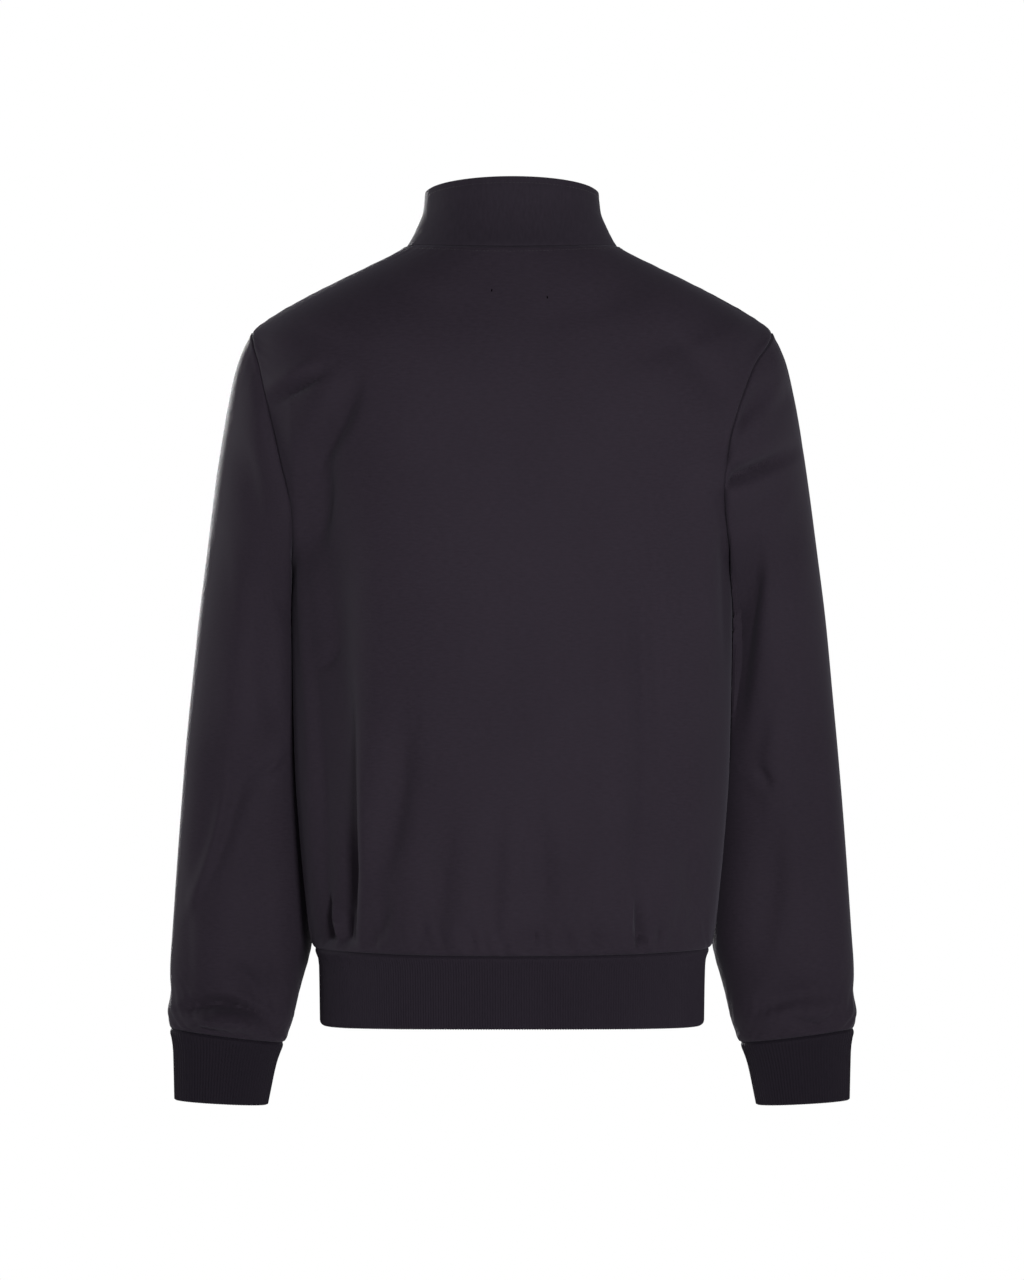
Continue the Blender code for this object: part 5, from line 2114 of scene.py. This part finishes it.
    def drawn(self, rings: Sequence[Outline]) -> bpy.types.Mesh:
        """The tab as a flat sheet with bevelled edges.

        Args:
            rings: Its outline and its eye.

        Returns:
            The mesh, flat and about the origin.
        """
        curve = bpy.data.curves.new("zip_pull_drawn", "CURVE")
        curve.dimensions = "2D"
        curve.fill_mode = "BOTH"
        curve.extrude = self.tab_thickness / 2 - self.tab_bevel
        curve.bevel_depth = self.tab_bevel
        curve.bevel_resolution = 2
        for ring in rings:
            spline = curve.splines.new("POLY")
            spline.points.add(len(ring) - 1)
            for point, (x, y) in zip(spline.points, ring):
                point.co = (x, y, 0.0, 1.0)
            spline.use_cyclic_u = True
        holder = bpy.data.objects.new("zip_pull_drawn", curve)
        bpy.context.scene.collection.objects.link(holder)
        bpy.context.view_layer.update()
        evaluated = holder.evaluated_get(bpy.context.evaluated_depsgraph_get())
        mesh = bpy.data.meshes.new_from_object(evaluated)
        mesh.name = "zip_pull_tab"
        bpy.data.objects.remove(holder)
        return mesh

    def pull(self) -> Piece:
        """The pull tab: a bevelled tongue with an eye for the bridge and raised grips.

        Returns:
            The pull tab.
        """
        bevel = self.tab_bevel
        half, top = self.tab_width / 2 - bevel, self.tab_bar / 2 - bevel
        bottom = self.tab_bar / 2 - self.tab_length + bevel
        waist, waist_z = half * self.tab_waist, top - self.tab_neck
        end = [(-x, -y) for x, y in self.rounded(half, -bottom, self.tab_end, 7)]
        outline = [*self.rounded(half, top, self.tab_corner, 5), (-waist, waist_z), *end, (waist, waist_z)]
        eye_half = self.bridge_width / 2 + self.eye_play + bevel
        eye_top = -self.tab_bar / 2 - bevel
        eye_bottom = -self.tab_bar / 2 - self.tab_eye + bevel * 0.5
        eye = [(-eye_half, eye_top), (-eye_half, eye_bottom), (eye_half, eye_bottom), (eye_half, eye_top)]
        mesh = self.drawn((outline, eye))
        shape = bmesh.new()
        shape.from_mesh(mesh)
        bmesh.ops.remove_doubles(shape, verts=shape.verts, dist=0.005 * MM)
        placed = Matrix.Translation(self.hinge) @ Matrix.Rotation(math.pi / 2, 4, "X")
        bmesh.ops.transform(shape, matrix=placed, verts=shape.verts)
        grip = block(0.62 * half, -self.grip_height, self.grip_height)
        depth = self.tab_thickness + 2 * self.grip_proud
        front = self.hinge.y - self.tab_thickness / 2 - self.grip_proud
        for k in range(self.grips):
            height = self.hinge.z + bottom + self.first_grip + k * self.grip_pitch
            self.add_plate(shape, grip, front, depth, height, 0.12 * MM)
        return show(mesh, shape, self.finishes.enamel, 32.0)

    def box(self) -> Piece:
        """The box and pin at the foot of the zip.

        Returns:
            The box.
        """
        middle_z = self.hem + self.gap + self.stop_height / 2
        row = self.row_at(middle_z)
        front = row.middle[1] + row.depth - self.chain_proud
        half, tall = self.chain_width / 2, self.stop_height / 2
        body = [(x * half, z * tall) for x, z in BOX_OUTLINE]
        shape = bmesh.new()
        self.add_plate(shape, body, front, self.chain_thickness, middle_z, 0.35 * MM)
        ridge = block(0.6 * half, -self.ridge_height, self.ridge_height)
        for k in (-1, 0, 1):
            ridge_z = middle_z + k * self.grip_pitch
            self.add_plate(shape, ridge, front - 0.14 * MM, 0.4 * MM, ridge_z, 0.08 * MM)
        return show(bpy.data.meshes.new("zip_box_moulded"), shape, self.finishes.enamel, 32.0)

    def build(self) -> None:
        """Builds the zip and puts each piece on its body."""
        made = {
            "zip_tape_left": (self.tape(Side.LEFT), "jacket", "zip_tape"),
            "zip_tape_right": (self.tape(Side.RIGHT), "jacket", "zip_tape"),
            "zip_chain": (self.teeth(), "jacket", "zip_teeth"),
            "zip_slider": (self.slider(), "jacket", "zip_metal"),
            "zip_pull": (self.pull(), "pull", "zip_metal"),
            "zip_box": (self.box(), "jacket", "zip_metal"),
        }
        for node, (piece, body, slot) in made.items():
            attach(piece, body)
            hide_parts(node)
            report(piece)


@dataclass
class Studio:
    """White ground, soft light and the camera, level with the jacket's middle behind its back."""

    distance: float = 4.5
    height: float = -0.3436
    field: float = 1.1162  # what the frame's long side takes in at the jacket
    sensor: float = 36.0
    floor_z: float = -2.0
    floor_size: float = 14.0
    overhead: float = 0.1
    spread: float = 50.0  # degrees that a softbox's light fans out
    floor_glow: float = 0.5
    dims_from: float = 0.125  # height, as a share of the whole sky, where the surround starts to dim
    dims_to: float = 0.21

    def camera(self) -> None:
        """Sets up the camera."""
        data = bpy.data.cameras.new("camera")
        data.sensor_width = self.sensor
        data.lens = self.sensor * self.distance / self.field
        camera = bpy.data.objects.new("camera", data)
        camera.location = (0.0, self.distance, self.height)
        camera.rotation_euler = (math.radians(90.0), 0.0, math.radians(180.0))
        bpy.context.scene.collection.objects.link(camera)
        bpy.context.scene.camera = camera

    def softbox(self, name: str, place: Triple, size: float, power: float) -> None:
        """A large square light that faces the jacket.

        Args:
            name: Name of the light.
            place: Where it stands.
            size: Its width.
            power: Its power in watts.
        """
        data = bpy.data.lights.new(name, "AREA")
        data.shape = "SQUARE"
        data.size = size
        data.energy = power
        data.spread = math.radians(self.spread)
        light = bpy.data.objects.new(name, data)
        light.location = place
        towards = Vector((0.0, 0.0, self.height)) - light.location
        light.rotation_euler = towards.to_track_quat("-Z", "Y").to_euler()
        bpy.context.scene.collection.objects.link(light)

    def ground(self) -> None:
        """A pale, evenly lit floor well below the jacket."""
        half = self.floor_size / 2
        corners = [(x, y, self.floor_z) for x, y in block(half, -half, half)]
        graph = FinishGraph("pale_floor")
        graph.tint(graph.noise(graph.object_place(), 3.0), (0.8, 0.8, 0.8), (0.86, 0.86, 0.86))
        graph.shade(Roughness=0.9, Emission_Color=(1.0, 1.0, 1.0, 1.0), Emission_Strength=self.floor_glow)
        add_piece("floor", np.array(corners), [(0, 1, 2, 3)], graph.material)

    def surround(self) -> None:
        """A white surround, dimmer overhead."""
        world = bpy.data.worlds.new("white_surround")
        world.use_nodes = True
        tree = world.node_tree
        way = add_node(tree, "ShaderNodeTexCoord").outputs["Generated"]
        height = add_node(tree, "ShaderNodeSeparateXYZ", {0: way}).outputs["Z"]
        limits = {"Value": height, "From Min": self.dims_from, "From Max": self.dims_to, "To Min": 1.0,
                  "To Max": self.overhead}
        fade = add_node(tree, "ShaderNodeMapRange", limits, interpolation_type="SMOOTHSTEP")
        light = {"Color": (1.0, 1.0, 1.0, 1.0), "Strength": fade.outputs["Result"]}
        feed(tree, tree.nodes["Background"], light)
        bpy.context.scene.world = world

    def build(self) -> None:
        """Builds the studio."""
        self.camera()
        self.ground()
        self.surround()
        self.softbox("softbox_back", (-0.9, 3.95, 0.15), 0.7, 13.3)
        self.softbox("softbox_left", (3.7, -1.7, 0.3), 1.2, 7.0)
        self.softbox("softbox_right", (-4.0, -0.9, 0.3), 1.2, 1.6)
        self.softbox("softbox_front", (1.6, -3.8, 0.2), 0.7, 15.0)
        bpy.context.scene.view_settings.view_transform = "Standard"


def corners(box: tuple[Vector, Vector]) -> list[list[float]]:
    """A box as plain lists of numbers."""
    return [list(corner) for corner in box]


def main() -> None:
    """Builds the studio and the jacket, piece by piece."""
    logging.basicConfig(level=logging.INFO, format="%(name)s: %(message)s")
    Studio().build()
    pattern = Pattern()
    finishes = Wardrobe.made()
    StandCollar(pattern, finishes).build()
    trunk = Trunk(pattern, finishes)
    trunk.stitches(trunk.build())
    Sleeves(pattern, finishes).build()
    Ribbing(pattern, finishes).build()
    FrontZip(pattern, finishes).build()


if __name__ == "__main__":
    main()
